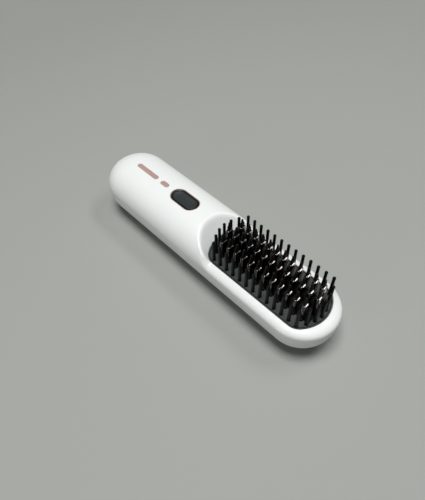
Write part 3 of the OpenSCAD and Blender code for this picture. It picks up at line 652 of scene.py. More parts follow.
@dataclass(frozen=True)
class BodyForm:
    """Outer form of the housing, in millimetres.

    Attributes:
        half_width: Half of the housing's width.
        end_x: Distance of the round ends' centres from the middle.
        parting: Height of the joint line.
        crown_rise: Rise of the handle's crown above the joint line.
        crown_power: Fullness of the handle's section.
        head_rise: Rise of the head's rim above the joint line.
        head_power: Fullness of the head's section.
        neck_from: Where the crown's section starts to change.
        neck_to: Where it has become the head's section.
        belly_drop: Depth of the belly's section.
        wall: Thickness of both shells.
    """

    half_width: float = 21.25
    end_x: float = 70.0
    parting: float = 21.0
    crown_rise: float = 15.75
    crown_power: float = 2.2
    head_rise: float = 5.8
    head_power: float = 3.6
    neck_from: float = 8.0
    neck_to: float = 18.0
    belly_drop: float = 21.5
    wall: float = 2.2

    def reach(self, x: np.ndarray, y: np.ndarray) -> np.ndarray:
        """Give each point's distance from the housing's middle line."""
        return np.hypot(np.maximum(np.abs(x) - self.end_x, 0), y)

    def outside(self, x: np.ndarray, y: np.ndarray) -> np.ndarray:
        """Give the height of the plain outside above the joint line.

        Args:
            x: Places along the housing.
            y: Places across it.

        Returns:
            Heights, before the comb's pocket is scooped out.
        """
        turn = smooth((x - self.neck_from) / (self.neck_to - self.neck_from))
        rise = self.crown_rise + (self.head_rise - self.crown_rise) * turn
        power = self.crown_power + (self.head_power - self.crown_power) * turn
        share = np.clip(self.reach(x, y) / self.half_width, 0, 1)
        return rise * np.power(np.clip(1 - share ** power, 0, 1), 1 / power)

    def crown(self, x: np.ndarray, y: np.ndarray) -> np.ndarray:
        """Give the height of the handle's crown above the table.

        Args:
            x: Places along the housing.
            y: Places across it.

        Returns:
            Heights of the crown, as if it ran on over the head.
        """
        share = np.clip(self.reach(np.minimum(x, 0), y) / self.half_width, 0, 1)
        rise = self.crown_rise * np.power(1 - share ** self.crown_power, 1 / self.crown_power)
        return self.parting + rise

    def rim(self, along: np.ndarray, inset: float) -> np.ndarray:
        """Walk round one side of the housing's outline, from the head to the handle's end.

        Args:
            along: Distances walked from the tip of the head.
            inset: How far inside the outline the walk is.

        Returns:
            Rows of x and y.
        """
        quarter = math.pi / 2 * self.half_width
        straight = 2 * self.end_x
        angle = np.where(along < quarter, along / self.half_width,
                         np.where(along < quarter + straight, math.pi / 2,
                                  math.pi / 2 + (along - quarter - straight) / self.half_width))
        x = self.end_x - np.clip(along - quarter, 0, straight)
        r = self.half_width - inset
        return np.stack([x + r * np.cos(angle), r * np.sin(angle)], axis=-1)

    @property
    def side_length(self) -> float:
        """Length of one side of the outline, tip to tip."""
        return math.pi * self.half_width + 2 * self.end_x


@dataclass(frozen=True)
class PlateForm:
    """Outline of the comb plate's opening, in millimetres.

    Attributes:
        start: The opening's end towards the handle.
        end: The opening's end towards the head.
        half: Half of its width.
        depth: How far its rounded ends bow out.
        corner: Radius of its corners.
        level: Height of the plate's face.
        thickness: Thickness of the plate.
    """

    start: float = 6.2
    end: float = 84.9
    half: float = 16.5
    depth: float = 12.0
    corner: float = 9.5
    level: float = 26.0
    thickness: float = 2.0

    @property
    def corner_y(self) -> float:
        """Distance of the corners' centres from the middle line."""
        return self.half - self.corner

    @property
    def bow(self) -> float:
        """Radius of the end bows."""
        return ((self.corner_y ** 2 + self.depth ** 2 - self.corner ** 2)
                / (2 * (self.depth - self.corner)))

    @property
    def bow_angle(self) -> float:
        """Half of the angle that an end bow covers."""
        return math.asin(self.corner_y / (self.bow - self.corner))

    @property
    def side_length(self) -> float:
        """Length of one side of the outline, tip to tip."""
        return 2 * (self.end_run + self.corner_run) + self.straight

    @property
    def end_run(self) -> float:
        """Length of half an end bow."""
        return self.bow * self.bow_angle

    @property
    def corner_run(self) -> float:
        """Length of a corner."""
        return self.corner * (math.pi / 2 - self.bow_angle)

    @property
    def straight(self) -> float:
        """Length of a straight side."""
        return self.end - self.start - 2 * self.depth

    def walk(self, along: np.ndarray, grow: float) -> np.ndarray:
        """Walk round one side of the outline, from the head to the handle's end.

        Args:
            along: Distances walked from the head's end.
            grow: How far outside the outline the walk is.

        Returns:
            Rows of x and y.
        """
        whole = self.side_length
        mirrored = along > whole / 2
        near = np.where(mirrored, whole - along, along)
        end_angle = np.minimum(near, self.end_run) / self.bow
        corner_angle = (self.bow_angle
                        + np.clip(near - self.end_run, 0, self.corner_run) / self.corner)
        on_bow = near < self.end_run
        past = np.maximum(near - self.end_run - self.corner_run, 0)
        x_bow = self.end - self.bow + (self.bow + grow) * np.cos(end_angle)
        y_bow = (self.bow + grow) * np.sin(end_angle)
        x_corner = (self.end - self.depth - past
                    + (self.corner + grow) * np.cos(corner_angle))
        y_corner = self.corner_y + (self.corner + grow) * np.sin(corner_angle)
        x = np.where(on_bow, x_bow, x_corner)
        y = np.where(on_bow, y_bow, y_corner)
        return np.stack([np.where(mirrored, self.start + self.end - x, x), y], axis=-1)

    def distance(self, x: np.ndarray, y: np.ndarray) -> np.ndarray:
        """Give each point's distance outside the outline, negative within it."""
        middle = (self.start + self.end) / 2
        across = np.abs(y)
        out = np.abs(x - middle) - (self.end - self.start) / 2
        corner_x = out + self.depth
        bow_x = out + self.bow
        straight = across - self.half
        corner = np.hypot(corner_x, across - self.corner_y) - self.corner
        bow = np.hypot(bow_x, across) - self.bow
        on_bow = np.arctan2(across, bow_x) < self.bow_angle
        return np.where(corner_x < 0, straight, np.where(on_bow, bow, corner))


BODY = BodyForm()
PLATE = PlateForm()


def both_sides(half: np.ndarray) -> np.ndarray:
    """Close a walk along one side with its mirror image.

    Args:
        half: Rows, columns and x, y, z; the first and last column lie on the middle line.

    Returns:
        The same rows with columns right round.
    """
    other = half[:, -2:0:-1].copy()
    other[..., 1] *= -1
    return np.concatenate([half, other], axis=1)


@dataclass
class Housing:
    """The two white shells that meet at the joint line.

    Attributes:
        slope: Rise of the scoop for each millimetre outward.
        lip: Height of the scoop's foot above the joint line.
        ridge: Softness of the ridge round the scoop.
        seam: Rounding of the edges along the joint line.
        ridge_fade: Rise above the lip over which the ridge reaches its full softness.
        rows: Rows of faces between the joint line and the comb's opening.
        crowding: How much closer the rows lie towards the opening.
        fan: Columns that fan out over the handle, on each side.
        head: Columns round the head's end, on each side.
        head_from: Distance of the first even column from the opening's corner.
        fan_from: Distance of the first fanned column from the other corner.
        step: Spacing of the even columns along the straight side.
        samples: Points on each column before it is cut into even rows.
        gap: Running gap between the pocket's wall and the face plate.
        ledge: Width of the ledge that the face plate rests on, and its depth.
        hollow_from: Where the hollow under the crown starts, and how soon it is full.
        hollow_rows: Rows of faces over the upper shell's hollow.
        belly_columns: Columns round each side of the belly.
        belly_rows: Rows of faces on the belly's outside and inside.
    """

    slope: float = 1.45
    lip: float = 5.1
    ridge: float = 2.6
    seam: float = 0.14
    ridge_fade: float = 2.2
    rows: int = 84
    crowding: float = 1.7
    fan: int = 112
    head: int = 40
    head_from: float = 8.0
    fan_from: float = 4.0
    step: float = 1.2
    samples: int = 1600
    gap: float = 0.06
    ledge: float = 1.2
    hollow_from: tuple[float, float] = (-3.0, 5.0)
    hollow_rows: int = 26
    belly_columns: int = 170
    belly_rows: tuple[int, int] = (44, 22)

    def columns(self) -> tuple[np.ndarray, np.ndarray]:
        """Pair places on the housing's outline with places on the comb's opening.

        Returns:
            Distances along one side of the outline, and along the opening.
        """
        quarter = math.pi / 2 * BODY.half_width
        bend = PLATE.end_run + PLATE.corner_run
        first_x = PLATE.end - PLATE.depth - self.head_from
        last_x = PLATE.start + PLATE.depth + self.fan_from
        straight = int((first_x - last_x) / self.step)
        outer_first = quarter + BODY.end_x - first_x
        outer_last = quarter + BODY.end_x - last_x
        inner_first = bend + PLATE.end - PLATE.depth - first_x
        inner_last = bend + PLATE.end - PLATE.depth - last_x
        outer = np.concatenate([
            np.linspace(0, outer_first, self.head, endpoint=False),
            np.linspace(outer_first, outer_last, straight, endpoint=False),
            np.linspace(outer_last, BODY.side_length, self.fan + 1)])
        inner = np.concatenate([
            np.linspace(0, inner_first, self.head, endpoint=False),
            np.linspace(inner_first, inner_last, straight, endpoint=False),
            np.linspace(inner_last, PLATE.side_length, self.fan + 1)])
        return outer, inner

    def height(self, x: np.ndarray, y: np.ndarray) -> np.ndarray:
        """Give the height of the upper shell's outside above the joint line.

        Args:
            x: Places along the housing.
            y: Places across it.

        Returns:
            The lower of the plain form and the scoop, with a soft ridge between them.
        """
        plain = BODY.outside(x, y)
        scoop = self.lip + self.slope * PLATE.distance(x, y)
        soft = np.clip((plain - self.lip) / self.ridge_fade, 0.02, 1) * self.ridge
        blend = np.clip(1 - np.abs(plain - scoop) / soft, 0, 1)
        return np.minimum(plain, scoop) - blend * blend * soft / 4

    def upper_rows(self) -> np.ndarray:
        """Lay out the upper shell's outside, its pocket and its inside.

        Returns:
            Rows, columns and x, y, z in millimetres.
        """
        outer, inner = self.columns()
        foot = BODY.rim(outer, 0)
        lip = PLATE.walk(inner, 0)
        fine = np.linspace(0, 1, self.samples)[:, None] ** 4
        x = foot[:, 0] + fine * (lip - foot)[:, 0]
        y = foot[:, 1] + fine * (lip - foot)[:, 1]
        z = self.height(x, y)
        z[0] = 0
        steps = np.sqrt(np.diff(x, axis=0) ** 2 + np.diff(y, axis=0) ** 2
                        + np.diff(z, axis=0) ** 2)
        run = np.concatenate([np.zeros((1, len(outer))), np.cumsum(steps, axis=0)])
        share = np.linspace(0, 1, self.rows + 1)[1:]
        wanted = 1 - (1 - share) ** self.crowding
        face = np.empty((self.rows, len(outer), 3))
        for column in range(len(outer)):
            goal = wanted * run[-1, column]
            goal[0] = max(goal[0], 2 * self.seam)
            for axis, values in enumerate((x, y, z)):
                face[:, column, axis] = np.interp(goal, run[:, column], values[:, column])
        rows = [at_level(BODY.rim(outer, BODY.wall), 0.0),
                at_level(BODY.rim(outer, self.seam), 0.0),
                at_level(BODY.rim(outer, 0.3 * self.seam), 0.3 * self.seam),
                at_level(BODY.rim(outer, 0.0), self.seam)]
        rows += list(face)
        edge = face[-1][:, 2]
        floor = PLATE.level - PLATE.thickness - BODY.parting
        seat_low = floor - self.ledge
        rows += [at_level(PLATE.walk(inner, -self.gap), edge - 0.1),
                 at_level(PLATE.walk(inner, -self.gap - 0.02), floor),
                 at_level(PLATE.walk(inner, -self.ledge), floor),
                 at_level(PLATE.walk(inner, -self.ledge), seat_low)]
        rows += list(self.inside(outer, inner, seat_low))
        whole = both_sides(np.stack(rows))
        whole[..., 2] += BODY.parting
        return whole

    def inside(self, outer: np.ndarray, inner: np.ndarray, low: float) -> np.ndarray:
        """Lay out the hollow of the upper shell, from the plate's seat to the wall's foot.

        Args:
            outer: Distances along the housing's outline.
            inner: Distances along the comb's opening.
            low: Height of the hollow under the comb.

        Returns:
            Rows, columns and x, y, z above the joint line.
        """
        wall = BODY.rim(outer, BODY.wall)
        seat_edge = PLATE.walk(inner, -self.ledge)
        start, run = self.hollow_from
        rows = []
        for share in np.linspace(0, 1, self.hollow_rows)[1:]:
            plan = seat_edge + (wall - seat_edge) * share
            rise = (BODY.crown_rise - BODY.wall) * smooth((start - plan[:, 0]) / run)
            part = np.clip(BODY.reach(plan[:, 0], plan[:, 1])
                           / (BODY.half_width - BODY.wall), 0, 1)
            hollow = rise * np.power(1 - part ** BODY.crown_power, 1 / BODY.crown_power)
            rows.append(at_level(plan, np.maximum(hollow, low)))
        rows.append(at_level(wall, 0.0))
        return np.stack(rows)

    def lower_rows(self) -> np.ndarray:
        """Lay out the lower shell, outside and inside.

        Returns:
            Rows, columns and x, y, z in millimetres.
        """
        along = np.linspace(0, BODY.side_length, self.belly_columns)
        middle = BODY.rim(along, BODY.half_width)
        outside, inside = self.belly_rows
        rows = [at_level(BODY.rim(along, BODY.wall), 0.0),
                at_level(BODY.rim(along, self.seam), 0.0),
                at_level(BODY.rim(along, 0.3 * self.seam), -0.3 * self.seam)]
        rows += self.belly(along, 0.0, outside, BODY.parting)
        rows.append(at_level(middle, -BODY.parting))
        hollow = self.belly(along, BODY.wall, inside, BODY.parting - BODY.wall)
        hollow.append(at_level(middle, BODY.wall - BODY.parting))
        return both_sides(np.stack(hollow[::-1] + rows)) + np.array([0, 0, BODY.parting])

    def belly(self, along: np.ndarray, inset: float, count: int,
              depth: float) -> list[np.ndarray]:
        """Lay out one skin of the belly, from the joint line to its flat.

        Args:
            along: Distances along the housing's outline.
            inset: How far inside the outside skin it lies.
            count: Number of rows.
            depth: Depth of its flat below the joint line.

        Returns:
            Rows of x, y, z.
        """
        half, drop = BODY.half_width - inset, BODY.belly_drop - inset
        limit = math.asin((depth / drop) ** (BODY.crown_power / 2))
        rows = []
        for turn in np.linspace(0.02, limit, count):
            reach = half * math.cos(turn) ** (2 / BODY.crown_power)
            level = -drop * math.sin(turn) ** (2 / BODY.crown_power)
            rows.append(at_level(BODY.rim(along, BODY.half_width - reach), level))
        return rows

    def build(self) -> list[bpy.types.Object]:
        """Make both shells with their openings.

        Returns:
            The upper and the lower shell.
        """
        upper = grid_sheet(self.upper_rows())
        face_outwards(upper)
        top = place_object("upper_shell", upper, WHITE_ABS, crease=50)
        carve(top, CONTROLS.openings(), crease=50)
        lower = grid_sheet(self.lower_rows())
        face_outwards(lower)
        bottom = place_object("lower_shell", lower, WHITE_ABS, crease=50)
        carve(bottom, INLET.openings(), crease=50)
        return [seat(top, HOUSING, "white_plastic", "top_shell"),
                seat(bottom, HOUSING, "white_plastic", "bottom_shell")]


def capsule_walk(x: float, length: float, width: float, count: int = 96) -> np.ndarray:
    """Walk round a capsule that lies along the housing.

    Args:
        x: Its middle.
        length: Its whole length.
        width: Its width.
        count: Number of steps.

    Returns:
        Rows of x and y.
    """
    r = width / 2
    run = length - width
    around = 2 * run + math.tau * r
    along = np.linspace(0, around, count, endpoint=False)
    quarter = run / 2
    points = []
    for s in along:
        if s < quarter:
            points.append((s, -r))
        elif s < quarter + math.pi * r:
            a = (s - quarter) / r - math.pi / 2
            points.append((run / 2 + r * math.cos(a), r * math.sin(a)))
        elif s < quarter + math.pi * r + run:
            points.append((run / 2 - (s - quarter - math.pi * r), r))
        elif s < quarter + math.tau * r + run:
            a = (s - quarter - math.pi * r - run) / r + math.pi / 2
            points.append((-run / 2 + r * math.cos(a), r * math.sin(a)))
        else:
            points.append((-run / 2 + s - quarter - math.tau * r - run, -r))
    return np.array(points) + np.array([x, 0])


def capsule_solid(x: float, length: float, width: float,
                  profile: Sequence[tuple[float, float]],
                  follow: Callable[[np.ndarray, np.ndarray], np.ndarray]) -> bmesh.types.BMesh:
    """Sweep a profile round a capsule and close it.

    Args:
        x: Middle of the capsule.
        length: Its whole length.
        width: Its width.
        profile: Inset from the capsule and level for each row.
        follow: Gives the height that a level counts from at x and y.

    Returns:
        A closed ring, or a closed lid where the profile reaches the middle line.
    """
    rows = []
    for inset, level in profile:
        plan = capsule_walk(x, length - 2 * inset, max(width - 2 * inset, 1e-4))
        rows.append(at_level(plan, follow(plan[:, 0], plan[:, 1]) + level))
    bm = grid_sheet(np.stack(rows))
    face_outwards(bm)
    return bm


@dataclass
class Controls:
    """The push button, its trims and the two lights on the crown.

    Attributes:
        button_x: Middle of the button.
        trim: Length and width of the rose-gold ring.
        band: Width of the ring's band.
        collar: Width of the black collar's band.
        sink: How far the collar lies below the crown.
        gap: Running gap round the button.
        dish: How deep the button's top is dished.
        bar: Middle, length and width of the charge light.
        dot: Middle, length and width of the status light.
        light_sink: How far both lights lie below the crown.
        skirt: How far the ring and the collar reach below the crown.
        floor: Height that the openings are cut down to.
        cut: Height of the cutters above that.
        slack: How much longer and wider the openings are than the pieces.
    """

    button_x: float = -22.8
    trim: tuple[float, float] = (22.0, 11.6)
    band: float = 0.4
    collar: float = 1.05
    sink: float = 0.2
    gap: float = 0.25
    dish: float = 0.6
    bar: tuple[float, float, float] = (-58.6, 19.8, 3.4)
    dot: tuple[float, float, float] = (-41.7, 6.9, 3.5)
    light_sink: float = 0.15
    skirt: float = 1.6
    floor: float = 30.0
    cut: float = 10.0
    slack: float = 0.06

    def openings(self) -> list[bmesh.types.BMesh]:
        """Make the cutters for the three openings in the crown.

        Returns:
            Closed capsules that stand through the shell.
        """
        made = []
        for x, length, width in ((self.button_x, *self.trim), self.bar, self.dot):
            upright = [(width / 2, 0.0), (0.0, 0.0), (0.0, self.cut), (width / 2, self.cut)]
            made.append(capsule_solid(x, length + self.slack, width + self.slack, upright,
                                      flat_level(self.floor)))
        return made

    def ring_piece(self) -> bpy.types.Object:
        """Make the thin rose-gold ring, its top softly rounded.

        Returns:
            The ring.
        """
        b, low = self.band, -self.skirt
        profile = [(0.0, low), (0.0, -0.06), (0.05, 0.05), (0.13, 0.1), (b - 0.13, 0.1),
                   (b - 0.05, 0.05), (b, -0.04), (b, low), (0.0, low)]
        bm = capsule_solid(self.button_x, *self.trim, profile, BODY.crown)
        # The ring's lacquer is painted a tone paler than the windows' as painted light.
        obj = place_object("button_ring", bm, LIT_ROSE_RING)
        return seat(obj, HOUSING, "rose_gold", "button_trim")

    def collar_piece(self) -> bpy.types.Object:
        """Make the black collar that rolls down to the button.

        Returns:
            The collar.
        """
        c, s, low = self.collar, self.sink, -self.skirt
        length, width = (size - 2 * self.band - 0.04 for size in self.trim)
        profile = [(0.0, low), (0.0, -0.08 - s), (0.08, -s), (0.35, -s), (0.62, -0.07 - s),
                   (0.86, -0.24 - s), (c, -0.5 - s), (c, low), (0.0, low)]
        bm = capsule_solid(self.button_x, length, width, profile, BODY.crown)
        obj = place_object("button_collar", bm, BLACK_ABS)
        return seat(obj, HOUSING, "black_plastic", "button_frame")

    def cap_piece(self) -> bpy.types.Object:
        """Make the dished slate button, with a soft edge.

        Returns:
            The button's face.
        """
        inset = self.band + self.collar + self.gap + 0.02
        length, width = (size - 2 * inset for size in self.trim)
        half = width / 2
        top = -self.sink - 0.05
        profile = [(half, -2.4), (0.0, -2.4), (0.0, top - 0.36), (0.07, top - 0.14),
                   (0.2, top - 0.03), (0.4, top)]
        inner = half - 0.4
        for share in np.linspace(0, 1, 9)[1:]:
            depth = self.dish * (1 - (1 - share) ** 2)
            profile.append((0.4 + inner * share, top - depth))
        bm = capsule_solid(self.button_x, length, width, profile, BODY.crown)
        obj = place_object("button_face", bm, SLATE_SOFT)
        return seat(obj, BUTTON, "slate_plastic", "button_cap")

    def light_piece(self, name: str, spot: tuple[float, float, float],
                    node: str) -> bpy.types.Object:
        """Make a light window that lies a little below the crown.

        Args:
            name: Name of the piece.
            spot: Its middle, length and width.
            node: The node it stands for.

        Returns:
            The piece.
        """
        x, length, width = spot
        half, top = width / 2, -self.light_sink
        profile = [(half, -2.6), (0.0, -2.6), (0.0, top - 0.1), (0.04, top - 0.02),
                   (0.12, top), (half * 0.6, top), (half, top)]
        bm = capsule_solid(x, length, width, profile, BODY.crown)
        return seat(place_object(name, bm, ROSE_LACQUER), HOUSING, "rose_gold", node)

    def build(self) -> list[bpy.types.Object]:
        """Make every piece of the controls.

        Returns:
            The ring, the collar, the button and the two windows.
        """
        return [self.ring_piece(), self.collar_piece(), self.cap_piece(),
                self.light_piece("charge_window", self.bar, "charge_light_bar"),
                self.light_piece("status_window", self.dot, "status_light")]


@dataclass
class Inlet:
    """The charging inlet in the handle's end and the screw holes in the belly.

    Attributes:
        level: Height of the inlet's middle.
        width: Width of its mouth.
        height: Height of its mouth.
        reach: How far the mouth is cut in from beyond the handle's end.
        screws: Places of the screw holes.
        screw_r: Radius of the screw holes.
        screw_top: Height that the screw holes are cut up to.
    """

    level: float = 18.2
    width: float = 9.34
    height: float = 3.56
    reach: float = 8.0
    screws: tuple[tuple[float, float], ...] = ((-78.0, 11.5), (-78.0, -11.5),
                                               (1.0, 13.0), (1.0, -13.0))
    screw_r: float = 2.6
    screw_top: float = 7.2

    def openings(self) -> list[bmesh.types.BMesh]:
        """Make the cutters for the inlet and the screw holes.

        Returns:
            Closed cutters in millimetres.
        """
        half = self.height / 2
        upright = [(half, 0.0), (0.0, 0.0), (0.0, self.reach), (half, self.reach)]
        mouth = capsule_solid(0.0, self.width, self.height, upright, flat_level(0.0))
        turn = Matrix.Rotation(math.pi / 2, 4, "Z") @ Matrix.Rotation(math.pi / 2, 4, "X")
        bmesh.ops.transform(mouth, matrix=turn, verts=mouth.verts)
        low = min(v.co.x for v in mouth.verts)
        shift = Vector((-BODY.end_x - BODY.half_width - 1.0 - low, 0, self.level))
        bmesh.ops.translate(mouth, vec=shift, verts=mouth.verts)
        made = [mouth]
        for x, y in self.screws:
            hole = lathe([(0, -1), (self.screw_r, -1), (self.screw_r, self.screw_top),
                          (0, self.screw_top)], 40)
            bmesh.ops.translate(hole, vec=(x, y, 0), verts=hole.verts)
            made.append(hole)
        return made


CONTROLS = Controls()
INLET = Inlet()


@dataclass
class GuardPins:
    """The ring of guard pins on its carrier strip.

    Attributes:
        pitch: Spacing of the pins along the comb.
        count: Pins in each straight row.
        middle: Middle of the comb's field.
        row_y: Distance of the straight rows from the middle line.
        bow: Bow of the pins round each end.
        bow_power: Shape of that bow.
        height: Height of a pin above the plate.
        root_r: Radius at the root.
        neck_r: Radius under the tip.
        tip_r: Radius of the round tip.
        strip_inset: How far inside the opening the strip's outer and inner edges lie.
        strip_thick: Thickness of the strip.
    """

    pitch: float = 5.0
    count: int = 13
    middle: float = 46.8
    row_y: float = 13.8
    bow: float = 5.6
    bow_power: float = 1.8
    height: float = 15.6
    root_r: float = 1.0
    neck_r: float = 0.85
    tip_r: float = 0.96
    strip_inset: tuple[float, float] = (1.45, 5.2)
    strip_thick: float = 1.5

    def places(self) -> list[tuple[float, float, float]]:
        """Give where the pins stand, at the height of the strip's face.

        Returns:
            Places of the two straight rows, then of the bows round both ends.
        """
        base = PLATE.level - PLATE.thickness
        reach = (self.count - 1) * self.pitch / 2
        made = [(self.middle - reach + i * self.pitch, side * self.row_y, base)
                for i in range(self.count) for side in (-1, 1)]
        for end in (-1, 1):
            for k in range(-2, 3):
                out = reach + self.bow * (1 - (abs(k) / 3) ** self.bow_power)
                made.append((self.middle + end * out, self.row_y * k / 3, base))
        return made

    def pin(self) -> bmesh.types.BMesh:
        """Make one pin: a slim taper with a soft foot and a ball tip.

        Returns:
            The pin, its foot at the origin.
        """
        top = PLATE.thickness + self.height
        ball = top - self.tip_r
        profile = [(0.0, 0.0), (self.root_r, 0.0), (self.root_r, PLATE.thickness - 0.3),
                   (self.root_r - 0.02, PLATE.thickness + 0.4)]
        for share in np.linspace(0.15, 1, 6):
            z = PLATE.thickness + (ball - 1.3 - PLATE.thickness) * share
            profile.append((self.root_r + (self.neck_r - self.root_r) * share, z))
        profile.append((self.neck_r + 0.02, ball - 0.85))
        for angle in np.linspace(-35, 90, 9):
            turn = math.radians(angle)
            profile.append((self.tip_r * math.cos(turn), ball + self.tip_r * math.sin(turn)))
        profile[-1] = (0.0, top)
        return lathe(profile, 16)

    def strip(self) -> bmesh.types.BMesh:
        """Make the flat strip under the plate that carries the pins.

        Returns:
            The strip, a closed ring that follows the opening.
        """
        along = np.linspace(0, PLATE.side_length, 90)
        base = PLATE.level - PLATE.thickness
        outline, inner = (PLATE.walk(along, -inset) for inset in self.strip_inset)
        low = base - self.strip_thick
        rows = [at_level(outline, low), at_level(outline, base), at_level(inner, base),
                at_level(inner, low), at_level(outline, low)]
        bm = grid_sheet(both_sides(np.stack(rows)))
        face_outwards(bm)
        return bm

    def build(self) -> list[bpy.types.Object]:
        """Make the pins and their strip.

        Returns:
            The one piece that they are moulded as.
        """
        bm = join([repeat(self.pin(), self.places()), self.strip()])
        return [seat(place_object("guard_pins", bm, BLACK_NYLON), HOUSING, "dark_nylon",
                     "guard_bristles")]


@dataclass
class HeatedTeeth:
    """Three rows of glazed teeth on the heating plate, each with a nylon tip.

    Attributes:
        pitch: Spacing of the teeth along a row.
        side_count: Teeth in an outer row.
        row_gap: Distance between rows.
        middle: Middle of the comb's field.
        height: Height of an outer tooth above the plate, without its tip.
        extra: How much taller the middle row is.
        root: Thickness and width of a tooth at its root.
        top: Thickness and width of a tooth at its top.
        tip_length: Length of a tip.
        ledge: Width of the ledge that slopes down from the tip on each face.
        crown_slope: Degrees that the ledge slopes.
        fullness: Fullness of a tooth's rounded section.
        tip_half: Half-thickness of a tip's flat shoulders.
        tip_r: Radius of a tip's round end.
        tip_root: How far a tip reaches down into its tooth.
        plate_half: Half-width of the heating plate.
        plate_past: How far the plate runs past the outermost teeth's middles.
        plate_thick: Thickness of the plate.
    """

    pitch: float = 5.24
    side_count: int = 12
    row_gap: float = 7.5
    middle: float = 46.8
    height: float = 12.4
    extra: float = 1.2
    root: tuple[float, float] = (2.8, 4.8)
    top: tuple[float, float] = (2.3, 4.1)
    tip_length: float = 6.1
    ledge: float = 0.58
    crown_slope: float = 17.0
    fullness: float = 4.0
    tip_half: float = 0.56
    tip_r: float = 0.75
    tip_root: float = 0.7
    plate_half: float = 10.2
    plate_past: float = 2.05
    plate_thick: float = 2.0

    def places(self) -> tuple[list[tuple[float, float]], list[tuple[float, float]]]:
        """Give where the teeth stand.

        Returns:
            Places in the two outer rows, and places in the middle row.
        """
        side = [(self.middle + (i - (self.side_count - 1) / 2) * self.pitch, s * self.row_gap)
                for i in range(self.side_count) for s in (-1, 1)]
        centre = [(self.middle + (i - self.side_count / 2) * self.pitch, 0.0)
                  for i in range(self.side_count + 1)]
        return side, centre

    def fin(self, height: float) -> bmesh.types.BMesh:
        """Make one metal tooth: a tapered fin with round ends and a soft top.

        Args:
            height: Its height above the plate.

        Returns:
            The fin, standing on the heating plate at the origin.
        """
        low, high = PLATE.level - PLATE.thickness - 0.5, PLATE.level + height
        thick, wide = self.top
        crown = self.ledge * math.tan(math.radians(self.crown_slope))
        turns = np.linspace(0, math.tau, 28, endpoint=False)
        levels = [(low, 0.0, 0.0), (low, *self.root), (high - crown - 0.2, thick + 0.06, wide),
                  (high - crown, thick, wide - 0.1),
                  (high, thick - 2 * self.ledge, wide - 1.2), (high + 0.02, 0.5, 1.0),
                  (high + 0.02, 0.0, 0.0)]
        rows = [at_level(oval(turns, depth / 2, width / 2, 2 / self.fullness), level)
                for level, depth, width in levels]
        bm = grid_sheet(np.stack(rows))
        face_outwards(bm)
        return bm

    def tip(self) -> bmesh.types.BMesh:
        """Make one tip: flat shoulders that narrow to a small round end.

        Returns:
            The tip, with the top of its tooth at the origin.
        """
        end, r = self.tip_length, self.tip_r
        sizes = [(-self.tip_root, 0.0), (-self.tip_root, 1.6), (0.0, 1.66), (0.3, 1.7),
                 (1.5, 1.62), (2.7, 1.5), (3.2, 1.36), (3.6, 1.12), (4.0, 0.88), (4.4, 0.77),
                 (4.9, r), (end - r, r)]
        for angle in (20, 40, 60, 78):
            turn = math.radians(angle)
            sizes.append((end - r + r * math.sin(turn), r * math.cos(turn)))
        sizes.append((end, 0.0))
        turns = np.linspace(0, math.tau, 20, endpoint=False)
        rows = []
        for z, wide in sizes:
            blend = 2 / (2 + 1.6 * max(wide - r, 0))
            rows.append(at_level(oval(turns, min(self.tip_half, wide * 0.98), wide, blend), z))
        bm = grid_sheet(np.stack(rows))
        face_outwards(bm)
        return bm

    def build(self) -> list[bpy.types.Object]:
        """Make the heating plate with its teeth, and the tips.

        Returns:
            The metal piece and the tips.
        """
        side, centre = self.places()
        top = PLATE.level - PLATE.thickness - 0.2
        reach = self.side_count * self.pitch / 2 + self.plate_past
        plate = rounded_block((self.middle - reach, -self.plate_half, top - self.plate_thick),
                              (self.middle + reach, self.plate_half, top), 6.0, 0.2)
        fins = [repeat(self.fin(self.height), [(x, y, 0) for x, y in side]),
                repeat(self.fin(self.height + self.extra), [(x, y, 0) for x, y in centre])]
        metal = place_object("heated_teeth", join([plate, *fins]), GLAZED_CASTING, crease=60)
        low = PLATE.level + self.height
        tips = repeat(self.tip(), [(x, y, low) for x, y in side]
                      + [(x, y, low + self.extra) for x, y in centre])
        caps = place_object("nylon_tips", tips, TIP_NYLON, crease=60)
        return [seat(metal, HOUSING, "coated_metal", "heating_plate"),
                seat(caps, HOUSING, "dark_nylon", "tooth_tips")]


@dataclass
class KeptNodes:
    """The solids that are shown as they are, each with its own material.

    Attributes:
        finishes: The finish of every kept node.
    """

    finishes: tuple[tuple[str, Finish], ...] = (
        ("cover_plate", SLATE_PBT), ("switch_plunger", BLACK_ABS),
        ("tact_switch", BRUSHED_STEEL), ("heater_strip", ALUMINA), ("mica_sheet", MICA),
        ("heater_clamp", BRUSHED_STEEL), ("heater_tray", PHENOLIC),
        ("heater_screws", BRUSHED_STEEL), ("thermistor", AMBER_BEAD),
        ("thermal_fuse", ROLLED_NICKEL), ("heater_leads", RED_SILICONE),
        ("main_board", SOLDER_MASK), ("board_screws", BRUSHED_STEEL),
        ("led_lamps", LAMP_EPOXY), ("battery_cells", CELL_WRAP),
        ("battery_cradle", PHENOLIC), ("nickel_strips", ROLLED_NICKEL),
        ("battery_leads", RED_SILICONE), ("charge_board", SOLDER_MASK),
        ("usb_socket", ROLLED_NICKEL), ("charge_leads", RED_SILICONE),
        ("shell_screws", BRUSHED_STEEL), ("screw_plugs", WHITE_ABS))

    def build(self) -> list[bpy.types.Object]:
        """Dress every kept node.

        Returns:
            The nodes.
        """
        made = []
        for name, finish in self.finishes:
            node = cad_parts[name]
            node.data.materials.clear()
            node.data.materials.append(paint(finish))
            LOG.info("node %s keeps its shape, finish %s", name, finish.name)
            made.append(node)
        return made


# ---------------------------------------------------------------- the studio


